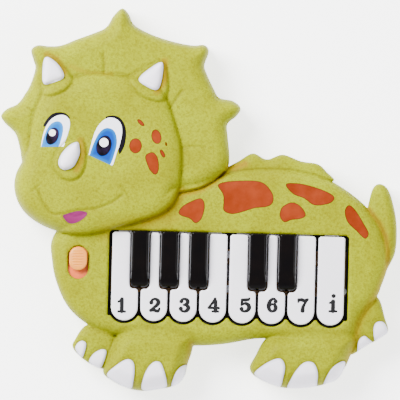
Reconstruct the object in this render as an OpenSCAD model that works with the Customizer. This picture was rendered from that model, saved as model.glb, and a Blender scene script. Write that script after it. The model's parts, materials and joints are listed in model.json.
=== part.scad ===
// Toy electronic keyboard in the shape of a young horned dinosaur, lying on its back.
// +X runs along the keys from low to high notes, +Y points to the crown of the head and +Z points out of
// the face. The origin is at the middle of the outer box, on the surface that the toy lies on.

/* [Keyboard] */
// Distance between the middles of two white keys
key_pitch = 16.3; // [15.8:0.1:16.6]
// Width of a white key
white_width = 15; // [14.4:0.1:15.2]
// Width of a black key
black_width = 10.8; // [10:0.1:11.2]

/* [Case] */
// Wall of both shells
wall = 2.2; // [2:0.1:2.4]
// Height of the joint between the two shells
parting_z = 17; // [17:0.5:17.5]
// Height of the body's front surface
body_z = 28; // [28:0.2:28.6]
// Height of the tail, the dorsal ridge and the far feet
low_z = 23; // [22.6:0.2:23.6]
// Height of the near legs
leg_z = 30; // [29.6:0.2:30.4]
// Height of the neck frill
frill_z = 31; // [30.6:0.2:31.6]
// Height of the face
face_z = 38; // [37:0.5:39]
// Height of the brow horns
horn_z = 42; // [41:0.5:43]
// Height of the nose horn, the highest point
nose_z = 44; // [43:0.5:45]
// Height of the rubber feet under the case
foot_h = 1.5; // [1:0.5:2]

/* [Hinge] */
// Radius of the steel rod that the keys turn on
rod_r = 1.5; // [1.4:0.05:1.6]
// Running clearance of a key on the rod
rod_gap = 0.04; // [0.02:0.01:0.08]
// Radius of the knuckles round the rod
knuckle_r = 2.8; // [2.6:0.1:2.9]

/* [Power switch] */
// Travel of the power slider
slide_travel = 4.5; // [3:0.5:4.5]

/* [Batteries] */
// Radius of an AA cell
cell_r = 7.1; // [7:0.05:7.2]
// Length of an AA cell with its button
cell_length = 50.2; // [49.5:0.1:50.4]

/* [Hidden] */
$fn = 48;
// The outlines below are drawn about the middle of the key bed, and this moves them to the origin.
box_shift = [0.35, 0.9, 0];

back_z = foot_h;
floor_z = back_z + 2;
slack = 0.3;
// The front shell's lip reaches down inside the back shell.
lip_t = 1.3;
face_roof_z = face_z - wall - 2.2;
// Bosses end inside the front wall over the body, the frill and the face.
body_boss_z = body_z - 1;
frill_boss_z = frill_z - 1;
face_boss_z = face_roof_z + 1;

// Outlines of the relief, as the points that a smooth closed curve passes through
BODY = [[-80.2, -22], [-80.6, -36], [-77.3, -49.4], [-70.8, -61.6], [-60.1, -70.6], [-47.6, -75.8],
    [-25, -80], [-1, -81], [16.3, -79.6], [37.7, -76], [60, -80], [88.3, -79], [88.6, -72], [92.8, -61.1],
    [98.6, -54.2], [102, -46], [105.2, -36], [105.5, -28], [103.6, -17.8], [99.1, -9.4], [93.6, -2.5],
    [85.8, 4.2], [76.9, 10], [68.6, 13.9], [58, 16.7], [46.9, 18.1], [31.9, 17.8], [20.2, 16.2], [5, 12],
    [-30, 6], [-65, -5]];
FRILL = [[-45, 105], [-49.5, 101.2], [-53.7, 94.4], [-60, 91.1], [-70, 87.2], [-78, 83.8], [-84.8, 83],
    [-91.5, 83.4], [-95, 80.5], [-93.6, 75], [-92.5, 70.5], [-94.8, 62.2], [-97.6, 56.7], [-101.7, 50.8],
    [-107.5, 47.8], [-110.8, 44], [-108.7, 40], [-102.8, 34.4], [-100.2, 27], [-96, 12], [-80, 0],
    [-50, -4], [-25, 0], [-9.8, 4], [0.2, 6.4], [9.1, 11.7], [15.2, 17.5], [16.3, 24.4], [15.1, 35],
    [14.7, 42.2], [19.5, 46.8], [21.8, 51.2], [17.5, 55.1], [9.9, 56.6], [6.9, 61.1], [2.2, 70.6],
    [1.2, 75], [3.4, 82.2], [0.8, 85.8], [-5.9, 85.4], [-17.6, 87.5], [-29.8, 91.4], [-38.4, 96.1],
    [-41.4, 101.7]];
FACE = [[-91, 50], [-93.8, 39.5], [-95, 28], [-98.5, 19], [-101.7, 12.2], [-102.6, 4.5], [-100.3, -3.9],
    [-94.8, -11.1], [-85.3, -16.9], [-74.6, -20.2], [-64, -21], [-53.3, -19], [-40.9, -15.5], [-29.8, -12],
    [-20.9, -8.1], [-14.8, -2.8], [-11.4, 5.6], [-10.1, 17], [-10.4, 28.9], [-13.7, 40.5], [-18.8, 54.5],
    [-25, 62], [-36, 66.5], [-48.1, 68.1], [-59.8, 68.6], [-70.9, 66], [-84, 62]];
NEAR_FRONT_LEG = [[-36.4, -71.4], [-43.7, -76.1], [-47.6, -84.4], [-50.9, -96.4], [-45.9, -101.4],
    [-37.6, -105.3], [-28.7, -106.8], [-19.8, -105.6], [-10.3, -103.2], [-5.6, -98], [-4, -91],
    [-1.7, -83.3], [-2, -75], [-16, -71.6]];
NEAR_REAR_LEG = [[45.8, -72.8], [38.3, -77], [33.6, -85.6], [30.4, -93], [35.2, -98.3], [46.9, -102.7],
    [57, -103.3], [68, -101.8], [78.6, -98.1], [83, -91.5], [85.8, -85], [88.4, -78.5], [88.3, -72.5],
    [70, -71.4]];
FAR_FRONT_FOOT = [[-60.6, -71.1], [-67, -79.4], [-67.8, -84], [-62, -90], [-53.1, -94.7], [-46, -94],
    [-42, -84], [-48, -73]];
FAR_REAR_FOOT = [[86.1, -84], [94.4, -79], [103.3, -73.6], [106.6, -70], [104.7, -63.3], [100.4, -51.7],
    [92, -54], [84, -66], [82, -80]];
TAIL = [[100.4, -49.5], [102.8, -41.1], [106.1, -34.4], [109.4, -26.7], [110.1, -15.6], [108.8, -4.4],
    [105, 7.6], [100.2, 11.2], [96.3, 8.3], [93.9, -1.5], [91, -15], [94, -40]];
RIDGE = [[73.6, 11.7], [70.2, 17.2], [65.2, 21.4], [56, 22.7], [45.8, 26.1], [37, 23.2], [29.4, 26.4],
    [22, 22.2], [14, 18], [25, 9], [50, 10]];
LEFT_SOCKET = [[-84.2, 78.1], [-77.6, 73.3], [-71.5, 65.5], [-75, 59], [-83.1, 55.3], [-88, 57],
    [-89.5, 66], [-88.5, 75]];
LEFT_HORN = [[-86.7, 76.7], [-88.3, 70], [-87, 61.7], [-80.9, 63.3], [-76.4, 66.3], [-80, 73.2]];
RIGHT_SOCKET = [[-40, 67], [-38, 60.6], [-31.4, 55.3], [-22, 53.8], [-18.5, 60], [-18.9, 68.5],
    [-21.4, 76], [-30, 73]];
RIGHT_HORN = [[-22.2, 75.3], [-29.8, 71.4], [-34.8, 66], [-31.5, 62.4], [-25, 60.3], [-22.2, 66]];
NOSE_SOCKET = [[-64.2, 31], [-63, 18], [-67.5, 9.9], [-75.5, 9.4], [-81.1, 16], [-79.5, 24], [-73, 31]];
NOSE_HORN = [[-68.8, 31], [-66.9, 25], [-69.2, 17.2], [-75.3, 14.9], [-78.7, 19.4], [-75.9, 26.1]];

// Key bed
WHITE_COUNT = 8;
first_key_x = -39.95;
window_left = -48.8;
window_right = 83.3;
window_top = -17.5;
key_end_y = -60.5;
scallop_r = 8.9;
skirt = 1.2;
skirt_z = 20.6;
key_top_z = body_z - 0.5;
key_plate = 2.8;
key_rear_y = -18.3;
notch_end_y = -50.1;
notch_gap = 0.6;
black_top_z = 32;
black_bottom_z = 24;
black_front_y = -49.3;
black_rear_y = -18;
black_bend_y = -38;
// Black keys stand over the joints after these white keys.
BLACK_AFTER = [1, 2, 3, 5, 6];
// Rod supports stand at the ends of the bed and at the joints with no black key.
rod_y = -12.5;
rod_z = 22.2;
white_knuckle = 8;
black_knuckle = 5;
support_w = 2.2;
support_x = [window_left + 0.5, joint_x(4), joint_x(7), window_right - 0.7];
plunger_y = -40;
plunger_r = 1.9;
dome_top_z = 22.6;

// Frame, board and felt under the keys
frame_z = 15;
frame_t = 2;
board_z = frame_z + frame_t;
board_t = 1.6;
board_rear_y = -27;
strip_t = 0.6;
frame_front_y = -70.5;
frame_rear_y = -3;
FRAME_SCREWS = [[-44, -6, face_boss_z], [18, -6, body_boss_z], [80, -6, body_boss_z],
    [-30, -72.6, body_boss_z], [14, -72.6, body_boss_z], [70, -72.6, body_boss_z]];
BOARD_SCREWS = [[-45.4, -49], [17.1, -49], [81, -49], [17.1, -30]];
CASE_SCREWS = [[-82.5, 60, frill_boss_z], [-3, 62, frill_boss_z], [-58.5, -61, body_boss_z],
    [-30, -84, body_boss_z], [58, -84, body_boss_z], [92, -30, body_boss_z], [-86, 2, face_boss_z]];
FEET = [[-68, 76], [5, 47], [96, -12], [60, -96.5], [-27, -97.5], [-72, -24]];
case_seat_z = 10;

// Battery bay, centred under the head
bay_x = -44;
bay_y = 38;
bay_length = cell_length + 8.3;
bay_width = 6 * cell_r + 3;
bay_roof_z = 19.5;
cell_z = floor_z + cell_r + 0.4;
ledge = 1.6;
ear_r = 5;
door_ear = bay_width / 2 + ledge + 3.6;
door_boss_z = 13;

// Loudspeaker, facing the back
speaker = [18, -42];
speaker_r = 20;
speaker_screw_d = 23;
grille_r = 16;
grille_pitch = 4.4;

// Sound board behind the hinge
main_board = [43, 1.5];
main_size = [50, 17];
main_z = 9;
main_screw_d = 21;

// Power switch left of the keys
slot = [-66, -36.3];
slot_size = [11.2, 18.2];
knob_size = [10, 13.2];
knob_y = slot[1] + (slot_size[1] - knob_size[1]) / 2 - slack;
// The plate behind the knob covers the slot at both ends of its travel
slider_width = slot_size[0] + 2.2;
slider_length = slot_size[1] + slide_travel + 2;
slider_z = 24;
slider_t = 1.8;
bracket_z = 17;

// A smooth closed curve through the points, with steps chords from each point to the next
function curve(p, steps = 2) = let (m = len(p)) [for (i = [0 : m - 1]) for (k = [0 : steps - 1])
    let (t = k / steps, a = p[(i + m - 1) % m], b = p[i], c = p[(i + 1) % m], d = p[(i + 2) % m])
    (2 * b + (c - a) * t + (2 * a - 5 * b + 4 * c - d) * t * t + (3 * b - a - 3 * c + d) * t * t * t) / 2];

function white_x(i) = first_key_x + (i - 1) * key_pitch;
function joint_x(i) = first_key_x + (i - 0.5) * key_pitch;
function speaker_screw_at(s) = [speaker[0] + s * speaker_screw_d, speaker[1]];
function main_screw_at(s) = [main_board[0] + s * main_screw_d, main_board[1]];
function black_on(i) = len(search(i, BLACK_AFTER)) > 0;

// A round bar with n sides swept along points, with each ring square to the way there
function unit(v) = v / norm(v);
function way(p, i) = unit(p[min(i + 1, len(p) - 1)] - p[max(i - 1, 0)]);
function ring(p, i, r, n) = let (w = way(p, i), s = unit(cross(w, abs(w[2]) > 0.9 ? [1, 0, 0] : [0, 0, 1])),
    u = cross(s, w)) [for (k = [0 : n - 1]) p[i] + r * (cos(360 * k / n) * s + sin(360 * k / n) * u)];

module lead(p, r, n = 8) {
    rings = len(p);
    points = [for (i = [0 : rings - 1]) each ring(p, i, r, n)];
    sides = [for (i = [0 : rings - 2]) for (k = [0 : n - 1])
        [i * n + k, i * n + (k + 1) % n, (i + 1) * n + (k + 1) % n, (i + 1) * n + k]];
    ends = [[for (k = [n - 1 : -1 : 0]) k], [for (k = [0 : n - 1]) (rings - 1) * n + k]];
    polyhedron(points, concat(sides, ends));
}

module placed() {
    translate(box_shift) children();
}

module slab(z_low, z_high) {
    translate([0, 0, z_low]) linear_extrude(z_high - z_low) children();
}

module low_outline() {
    polygon(curve(TAIL));
    polygon(curve(RIDGE));
    polygon(curve(FAR_FRONT_FOOT));
    polygon(curve(FAR_REAR_FOOT));
}

module body_outline() {
    polygon(curve(BODY));
    polygon(curve(FRILL));
    polygon(curve(FACE));
    polygon(curve(NEAR_FRONT_LEG));
    polygon(curve(NEAR_REAR_LEG));
}

// The whole silhouette, drawn in from its edge by inset
module silhouette(inset) {
    offset(delta = -inset) {
        low_outline();
        body_outline();
    }
}

module body_area(inset) {
    offset(delta = -inset) body_outline();
}

module area(points, inset) {
    offset(delta = -inset) polygon(curve(points));
}

module post(p, r, z_low, z_high) {
    translate([p[0], p[1], z_low]) cylinder(r = r, h = z_high - z_low);
}

module stadium(centre, size) {
    translate(centre) hull() {
        for (s = [-1, 1]) translate([0, s * (size[1] - size[0]) / 2]) circle(d = size[0]);
    }
}

module key_window(grow = 0) {
    translate([window_left - grow, key_end_y]) square([window_right - window_left + 2 * grow,
        window_top - key_end_y]);
    for (i = [1 : WHITE_COUNT]) translate([white_x(i), key_end_y]) circle(r = scallop_r + grow);
}

module front_outer() {
    slab(parting_z, low_z - 1.4) silhouette(0);
    slab(parting_z, low_z) silhouette(0.9);
    slab(parting_z, body_z - 1.6) body_area(1.1);
    slab(parting_z, body_z) body_area(2.1);
    slab(parting_z + 1, leg_z) area(NEAR_FRONT_LEG, 2.9);
    slab(parting_z + 1, leg_z) area(NEAR_REAR_LEG, 2.9);
    slab(parting_z + 1, frill_z) area(FRILL, 1.7);
    slab(parting_z + 2, face_z - 3.4) area(FACE, 0.5);
    slab(parting_z + 2, face_z - 1.2) area(FACE, 3);
    slab(parting_z + 2, face_z) area(FACE, 7);
    for (horn = [LEFT_SOCKET, RIGHT_SOCKET, NOSE_SOCKET]) slab(parting_z + 3, face_z + 1.5) area(horn, 0.6);
    for (horn = [LEFT_HORN, RIGHT_HORN]) slab(face_z - 2, horn_z) area(horn, 0.4);
    slab(face_z - 2, nose_z) area(NOSE_HORN, 0.4);
}

module front_cavity() {
    slab(parting_z - 3, parting_z + 1.4) silhouette(wall + lip_t);
    slab(parting_z + 1.2, low_z - wall) silhouette(wall);
    slab(parting_z + 1.2, body_z - wall + 0.2) body_area(wall + 1.5);
    slab(parting_z + 1.2, frill_z - wall) area(FRILL, wall + 2);
    slab(parting_z + 1.2, face_roof_z) area(FACE, wall + 3);
}

module front_shell() color([0.79, 0.82, 0.3]) placed() difference() {
    union() {
        difference() {
            union() {
                front_outer();
                slab(parting_z - 2.5, parting_z + 0.6) silhouette(wall + 0.1);
            }
            front_cavity();
        }
        slab(skirt_z, body_z - 1) difference() {
            key_window(skirt);
            key_window();
            translate([window_left - 5, window_top - 4]) square([window_right - window_left + 10, 10]);
        }
        for (p = CASE_SCREWS) post(p, 4, parting_z, p[2]);
        for (p = FRAME_SCREWS) post(p, 2.6, parting_z, p[2]);
        for (y = [-30, -44.5]) post([-54.4, y], 2.4, bracket_z + 1, body_z - 1);
    }
    slab(skirt_z - 1, 50) key_window();
    slab(20, 50) stadium(slot, slot_size);
    for (p = CASE_SCREWS) post(p, 1.45, parting_z - 1, 24.5);
    for (p = FRAME_SCREWS) post(p, 1.2, parting_z - 1, 24);
    for (y = [-30, -44.5]) post([-54.4, y], 1, bracket_z, 24);
}

module bay_area(grow) {
    translate([bay_x, bay_y]) square([bay_length + 2 * grow, bay_width + 2 * grow], center = true);
}

module door_area(gap) {
    bay_area(ledge - gap);
    for (s = [-1, 1]) translate([bay_x, bay_y + s * door_ear]) {
        circle(r = ear_r - gap);
        translate([0, -s * ear_r / 2]) square([2 * (ear_r - gap), ear_r], center = true);
    }
}

module back_shell() color([0.74, 0.77, 0.28]) placed() difference() {
    union() {
        difference() {
            union() {
                slab(back_z + 1.2, parting_z) silhouette(0);
                slab(back_z, parting_z) silhouette(1.2);
            }
            slab(floor_z, parting_z + 1) silhouette(wall);
        }
        slab(floor_z - 1, bay_roof_z + 1.4) bay_area(ledge + 1.4);
        slab(floor_z - 1, floor_z + 1.4) offset(delta = 1.4) door_area(0);
        for (s = [-1, 1]) post([bay_x, bay_y + s * door_ear], 3.4, floor_z, door_boss_z);
        for (p = CASE_SCREWS) post(p, 4.6, floor_z - 1, parting_z);
        for (s = [-1, 1]) post(speaker_screw_at(s), 2.4, floor_z - 1, floor_z + 1.2);
        for (s = [-1, 1]) post(main_screw_at(s), 3, floor_z - 1, main_z);
    }
    slab(back_z - 1, bay_roof_z) bay_area(0);
    slab(back_z - 1, floor_z) door_area(0);
    for (s = [-1, 1]) post([bay_x, bay_y + s * door_ear], 1.2, floor_z - 1, door_boss_z - 1);
    for (p = CASE_SCREWS) {
        post(p, 3.1, back_z - 1, case_seat_z);
        post(p, 1.6, back_z, parting_z + 1);
    }
    for (i = [-3 : 3]) translate([speaker[0] - grille_half(i), speaker[1] + grille_pitch * i - 1, back_z - 1])
        cube([2 * grille_half(i), 2, 5]);
    for (s = [-1, 1]) post(speaker_screw_at(s), 1, floor_z - 0.6, floor_z + 3);
    for (s = [-1, 1]) post(main_screw_at(s), 1.1, floor_z, main_z + 1);
}

// Half the length of one slot of the loudspeaker grille, so that the slots fill a circle
function grille_half(i) = sqrt(grille_r * grille_r - pow(grille_pitch * i, 2));

// A pan-head screw pointing up, with its head's underside at z and a cross in the head
module screw(p, z, shank_r, length, head_r, head_h) {
    translate([p[0], p[1], z]) difference() {
        union() {
            translate([0, 0, -head_h]) cylinder(r = head_r, h = head_h);
            cylinder(r = shank_r, h = length);
        }
        for (a = [0, 90])
            rotate(a) translate([-head_r * 0.6, -0.3, -head_h - 1]) cube([head_r * 1.2, 0.6, 1.8]);
    }
}

// The same screw pointing down, with its head's underside at z
module screw_down(p, z, shank_r, length, head_r, head_h) {
    translate([0, 0, z]) mirror([0, 0, 1]) screw(p, 0, shank_r, length, head_r, head_h);
}

module case_screws() color("silver") placed() {
    for (p = CASE_SCREWS) screw(p, case_seat_z, 1.45, 14, 2.8, 2.2);
}

module foot_pads() color([0.2, 0.2, 0.2]) placed() {
    for (p = FEET) post(p, 5.5, 0, foot_h);
}

module battery_door() color([0.72, 0.75, 0.27]) placed() difference() {
    slab(back_z, floor_z) door_area(0.25);
    for (s = [-1, 1]) {
        post([bay_x, bay_y + s * door_ear], 2.6, back_z - 1, back_z + 1);
        post([bay_x, bay_y + s * door_ear], 1.2, back_z, floor_z + 1);
    }
    for (i = [-2 : 2]) translate([bay_x + 20, bay_y + 3 * i - 0.5, back_z - 0.4]) cube([8, 1, 0.8]);
}

module door_screws() color("silver") placed() {
    for (s = [-1, 1]) screw([bay_x, bay_y + s * door_ear], back_z + 1, 1.15, 9, 2.5, 0.9);
}

// An AA cell along X, with its button toward +X when turn is 0
module aa_cell(i) color(i == 2 ? [0.15, 0.15, 0.15] : [0.75, 0.55, 0.2]) placed() {
    translate([bay_x, cell_y(i), cell_z])
        rotate([0, i == 2 ? -90 : 90, 0]) rotate_extrude() polygon([[0, -cell_length / 2],
            [cell_r - 0.6, -cell_length / 2], [cell_r, -cell_length / 2 + 0.6],
            [cell_r, cell_length / 2 - 2], [cell_r - 0.6, cell_length / 2 - 1.4],
            [2.7, cell_length / 2 - 1.4], [2.7, cell_length / 2], [0, cell_length / 2]]);
}

function cell_side(i) = i == 2 ? 1 : -1;
function cell_y(i) = bay_y + (i - 2) * (2 * cell_r + 0.6);

// Springs press on the flat end of each cell, opposite its button.
module battery_springs() color("silver") placed() {
    gap = bay_length / 2 - cell_length / 2 - 0.5;
    for (i = [1 : 3]) translate([bay_x, cell_y(i), cell_z]) {
        lead([for (k = [0 : 40]) [cell_side(i) * (cell_length / 2 + 0.4 + (gap - 0.6) * k / 40),
            (3 + k / 20) * cos(27 * k), (3 + k / 20) * sin(27 * k)]], 0.35, 5);
        translate([cell_side(i) * (bay_length / 2 - 0.25), 0, 0]) cube([0.4, 11, 11], center = true);
    }
}

module battery_plates() color("silver") placed() {
    for (i = [1 : 3]) translate([bay_x - cell_side(i) * (cell_length / 2 + 0.3), cell_y(i), cell_z]) {
        cube([0.4, 8, 10], center = true);
        translate([-cell_side(i) * 1.9, 0, -4]) cube([3.9, 8, 0.4], center = true);
    }
}

module key_frame() color([0.85, 0.84, 0.8]) placed() difference() {
    union() {
        translate([window_left - 1.2, frame_front_y, frame_z])
            cube([window_right - window_left + 2.4, frame_rear_y - frame_front_y, frame_t]);
        for (p = FRAME_SCREWS) post(p, 3.2, frame_z, board_z);
        for (x = support_x) {
            translate([x - support_w / 2, rod_y - 3, board_z - 0.5])
                cube([support_w, 6, rod_z - board_z + 0.5]);
            translate([x - support_w / 2, rod_y, rod_z]) rotate([0, 90, 0]) cylinder(r = 3, h = support_w);
        }
    }
    for (p = FRAME_SCREWS) post(p, 1.35, frame_z - 1, board_z + 1);
    for (p = BOARD_SCREWS) post(p, 1, frame_z - 1, board_z + 1);
    translate([window_left - 5, rod_y, rod_z]) rotate([0, 90, 0]) cylinder(r = rod_r + 0.01, h = 150);
}

module frame_screws() color("silver") placed() {
    for (p = FRAME_SCREWS) screw(p, frame_z, 1.2, 8, 2.4, 1.7);
}

module hinge_rod() color("silver") placed() {
    translate([support_x[0] - 1.6, rod_y, rod_z]) rotate([0, 90, 0])
        cylinder(r = rod_r, h = support_x[3] - support_x[0] + 3.2);
}

module knuckle(x, length) {
    translate([x - length / 2, rod_y, rod_z]) rotate([0, 90, 0]) cylinder(r = knuckle_r, h = length);
    translate([x - length / 2, key_rear_y - 1.2, rod_z - 2.2]) cube([length, rod_y - key_rear_y + 1.2, 3.2]);
}

module rod_bore(x, length) {
    translate([x - length, rod_y, rod_z]) rotate([0, 90, 0]) cylinder(r = rod_r + rod_gap, h = 2 * length);
}

// Top view of a white key: a bar with a round front, narrower beside each black key
module white_outline(i) {
    difference() {
        union() {
            translate([white_x(i) - white_width / 2, key_end_y])
                square([white_width, key_rear_y - key_end_y]);
            translate([white_x(i), key_end_y]) circle(d = white_width);
        }
        for (j = [i - 1, i]) if (black_on(j))
            translate([joint_x(j) - black_width / 2 - notch_gap, notch_end_y])
                square([black_width + 2 * notch_gap, 60]);
    }
}

module white_key(i) color([0.94, 0.93, 0.95]) placed() difference() {
    union() {
        slab(key_top_z - key_plate, key_top_z) white_outline(i);
        slab(key_top_z - 6, key_top_z - 1) difference() {
            white_outline(i);
            translate([white_x(i), key_end_y]) circle(d = white_width - 2.6);
            translate([white_x(i) - white_width / 2 + 1.3, key_end_y]) square([white_width - 2.6, 60]);
            translate([white_x(i) - white_width, notch_end_y - 3]) square([2 * white_width, 60]);
        }
        post([white_x(i), plunger_y], plunger_r, dome_top_z + 0.1, key_top_z - 1);
        knuckle(white_x(i), white_knuckle);
        translate([white_x(i) - 2.1, key_rear_y - 6, rod_z - 1]) cube([4.2, 6, 5]);
    }
    rod_bore(white_x(i), white_knuckle);
}

module black_key(n) color([0.06, 0.05, 0.06]) placed() difference() {
    x = joint_x(BLACK_AFTER[n - 1]);
    union() {
        intersection() {
            slab(black_bottom_z, black_top_z) {
                translate([x - black_width / 2, black_front_y + 2.5])
                    square([black_width, black_rear_y - black_front_y - 2.5]);
                for (s = [-1, 1])
                    translate([x + s * (black_width / 2 - 2.5), black_front_y + 2.5]) circle(r = 2.5);
                translate([x - black_width / 2 + 2.5, black_front_y]) square([black_width - 5, 4]);
            }
            translate([x - black_width, 0, 0]) rotate([90, 0, 90]) linear_extrude(2 * black_width)
                polygon([[black_rear_y + 1, 20], [black_rear_y + 1, black_top_z], [black_bend_y, black_top_z],
                    [black_front_y + 2, black_top_z - 2.6], [black_front_y, black_top_z - 4],
                    [black_front_y, 20]]);
        }
        post([x, plunger_y], plunger_r, dome_top_z + 0.1, black_bottom_z + 1);
        knuckle(x, black_knuckle);
        translate([x - 2.5, key_rear_y - 4, rod_z - 1]) cube([5, 4, 4]);
    }
    rod_bore(x, black_knuckle);
}

module dome_strip() color([0.6, 0.6, 0.62]) placed() {
    strip_z = board_z + board_t;
    translate([window_left + 2, plunger_y - 4.5, strip_z]) cube([window_right - window_left - 4, 9, strip_t]);
    for (i = [1 : WHITE_COUNT]) translate([white_x(i), plunger_y, strip_z])
        cylinder(r1 = 3.4, r2 = 2.3, h = dome_top_z - strip_z);
    for (i = BLACK_AFTER) translate([joint_x(i), plunger_y, strip_z])
        cylinder(r1 = 3.4, r2 = 2.3, h = dome_top_z - strip_z);
}

module contact_board() color([0.55, 0.4, 0.2]) placed() difference() {
    translate([window_left + 0.8, board_rear_y - 25, board_z])
        cube([window_right - window_left - 1.6, 25, board_t]);
    for (p = BOARD_SCREWS) post(p, 1.1, board_z - 1, board_z + 3);
}

module board_screws() color("silver") placed() {
    for (p = BOARD_SCREWS) screw_down(p, board_z + board_t, 1, 3.2, 2, 1.2);
}

module front_felt() color([0.6, 0.2, 0.2]) placed() {
    translate([window_left + 2, -67, board_z]) cube([window_right - window_left - 4, 7, 1.2]);
}

module main_board_plate() color([0.55, 0.4, 0.2]) placed() difference() {
    translate([main_board[0] - main_size[0] / 2, main_board[1] - main_size[1] / 2, main_z])
        cube([main_size[0], main_size[1], board_t]);
    for (s = [-1, 1]) post(main_screw_at(s), 1.2, main_z - 1, main_z + 3);
}

module main_board_screws() color("silver") placed() {
    for (s = [-1, 1]) screw_down(main_screw_at(s), main_z + board_t, 1.1, 5.5, 2.2, 1.2);
}

module on_main_board(x, y) {
    translate([main_board[0] + x, main_board[1] + y, main_z + board_t]) children();
}

module chip_blob() color([0.05, 0.05, 0.05]) placed() on_main_board(-6, 0) {
    cylinder(r = 5.5, h = 0.8);
    translate([0, 0, 0.8]) cylinder(r1 = 5, r2 = 3, h = 1);
}

module capacitor() color([0.1, 0.15, 0.35]) placed() on_main_board(13, 3.5) {
    cylinder(r = 2.5, h = 0.8);
    translate([0, 0, 0.8]) cylinder(r = 2.7, h = 4);
}

module resistors() color([0.75, 0.65, 0.45]) placed() {
    for (k = [0 : 3]) on_main_board(2 + 2.6 * k, -4) {
        translate([0, -3, 1]) rotate([-90, 0, 0]) cylinder(r = 0.9, h = 6);
        for (y = [-2.6, 2.6]) translate([0, y, 0]) cylinder(r = 0.3, h = 1);
    }
}

module transistor() color([0.1, 0.1, 0.1]) placed() on_main_board(-15, -1) {
    translate([-2.2, -1.6, 0.8]) cube([4.4, 3.2, 3.3]);
    for (x = [-1.3, 0, 1.3]) translate([x, 0, 0]) cylinder(r = 0.25, h = 1);
}

module ribbon_cable() color([0.7, 0.7, 0.72]) placed() {
    ribbon_top = board_z + 0.1;
    translate([54.5, board_rear_y, ribbon_top]) cube([9, frame_rear_y + 1 - board_rear_y, 0.5]);
    translate([54.5, frame_rear_y + 0.4, main_z + board_t])
        cube([9, 0.6, ribbon_top - main_z - board_t + 0.5]);
}

module speaker_turned(profile) {
    translate([speaker[0], speaker[1], 0]) rotate_extrude() polygon(profile);
}

module speaker_basket() color("silver") placed() {
    speaker_turned([[16.5, floor_z], [speaker_r, floor_z], [speaker_r, floor_z + 1.2], [17.6, floor_z + 1.2],
        [11.5, 11.3], [4, 11.3], [4, 10.5], [11, 10.5], [16.5, floor_z + 1.3]]);
}

module speaker_cone() color([0.15, 0.15, 0.15]) placed() {
    speaker_turned([[0, 8], [4, 8], [15.8, floor_z + 0.4], [16.4, floor_z + 0.4], [16.4, floor_z + 0.9],
        [4.4, 8.7], [0, 8.7]]);
}

module speaker_magnet() color([0.3, 0.3, 0.32]) placed() {
    post(speaker, 10, 11.3, 13.6);
    post(speaker, 11, 11.9, 13);
}

module speaker_screws() color("silver") placed() {
    for (s = [-1, 1]) screw_down(speaker_screw_at(s), floor_z + 1.2, 0.95, 1.6, 3.5, 1.2);
}

module slider_knob() color([0.97, 0.78, 0.6]) placed() {
    slab(slider_z + slider_t, body_z + 2.6) stadium([slot[0], knob_y], knob_size);
    for (k = [-2 : 2]) translate([slot[0] - 3, knob_y + 2 * k - 0.4, body_z + 2]) cube([6, 0.8, 1]);
}

module slider_plate() color([0.92, 0.54, 0.38]) placed() difference() {
    slab(slider_z, slider_z + slider_t) stadium([slot[0], knob_y], [slider_width, slider_length]);
    translate([slot[0] - 1.1, knob_y - 1.1, slider_z - 1]) cube([2.2, 2.2, 2]);
}

module switch_can() color("silver") placed() difference() {
    translate([slot[0] - 3, slot[1] - 6, bracket_z + 1]) cube([6, 12, 4.5]);
    translate([slot[0] - 1.1, slot[1] - 4, bracket_z + 3]) cube([2.2, 8, 3]);
}

module switch_lever() color([0.1, 0.1, 0.1]) placed() {
    translate([slot[0] - 1, knob_y - 1, bracket_z + 3.1]) cube([2, 2, slider_z + 0.9 - bracket_z - 3.1]);
}

module switch_bracket() color([0.8, 0.8, 0.75]) placed() difference() {
    union() {
        translate([-72.6, -47.5, bracket_z]) cube([21.6, 21, 1]);
        for (x = [-72.6, -60.4]) translate([x, -47.5, bracket_z]) cube([1.2, 21, slider_z - bracket_z - 0.1]);
    }
    for (y = [-30, -44.5]) post([-54.4, y], 1.1, bracket_z - 1, bracket_z + 3);
}

module switch_screws() color("silver") placed() {
    for (y = [-30, -44.5]) screw([-54.4, y], bracket_z, 1, 6, 1.9, 1.3);
}

module red_lead() color([0.8, 0.1, 0.1]) placed() {
    lead([[-70, 10.4, 14], [-70, 6, 14], [-72, -4, 13], [-73, -12, 13], [-72, -22, 13.5], [-69, -30, 14.5],
        [-67, -34, 16.2]], 0.7);
    lead([[-64, -40, 16.2], [-62, -36, 13], [-56, -28, 9], [-46, -20, 7.5], [-30, -15, 7], [-14, -11, 7.5],
        [0, -10, 9], [8, -9.6, 12], [13, -8, 12.6], [19.5, -4, 11.3]], 0.7);
}

module black_lead() color([0.12, 0.12, 0.12]) placed() {
    lead([[-20, 10.4, 14], [-19, 6, 14], [-14, 4, 13], [-4, 5, 12.5], [6, 6.5, 12.4], [12, 7.6, 12.2],
        [20, 7.2, 11.3]], 0.7);
}

module speaker_leads() color([0.85, 0.8, 0.3]) placed() {
    for (k = [0, 1]) lead([[26 + 3 * k, -22.4, 6.5], [26 + 3 * k, -16, 7], [25 + 3 * k, -11, 9],
        [24 + 3 * k, -9, 12], [24 + 3 * k, -6, 11.3]], 0.6);
}

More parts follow.
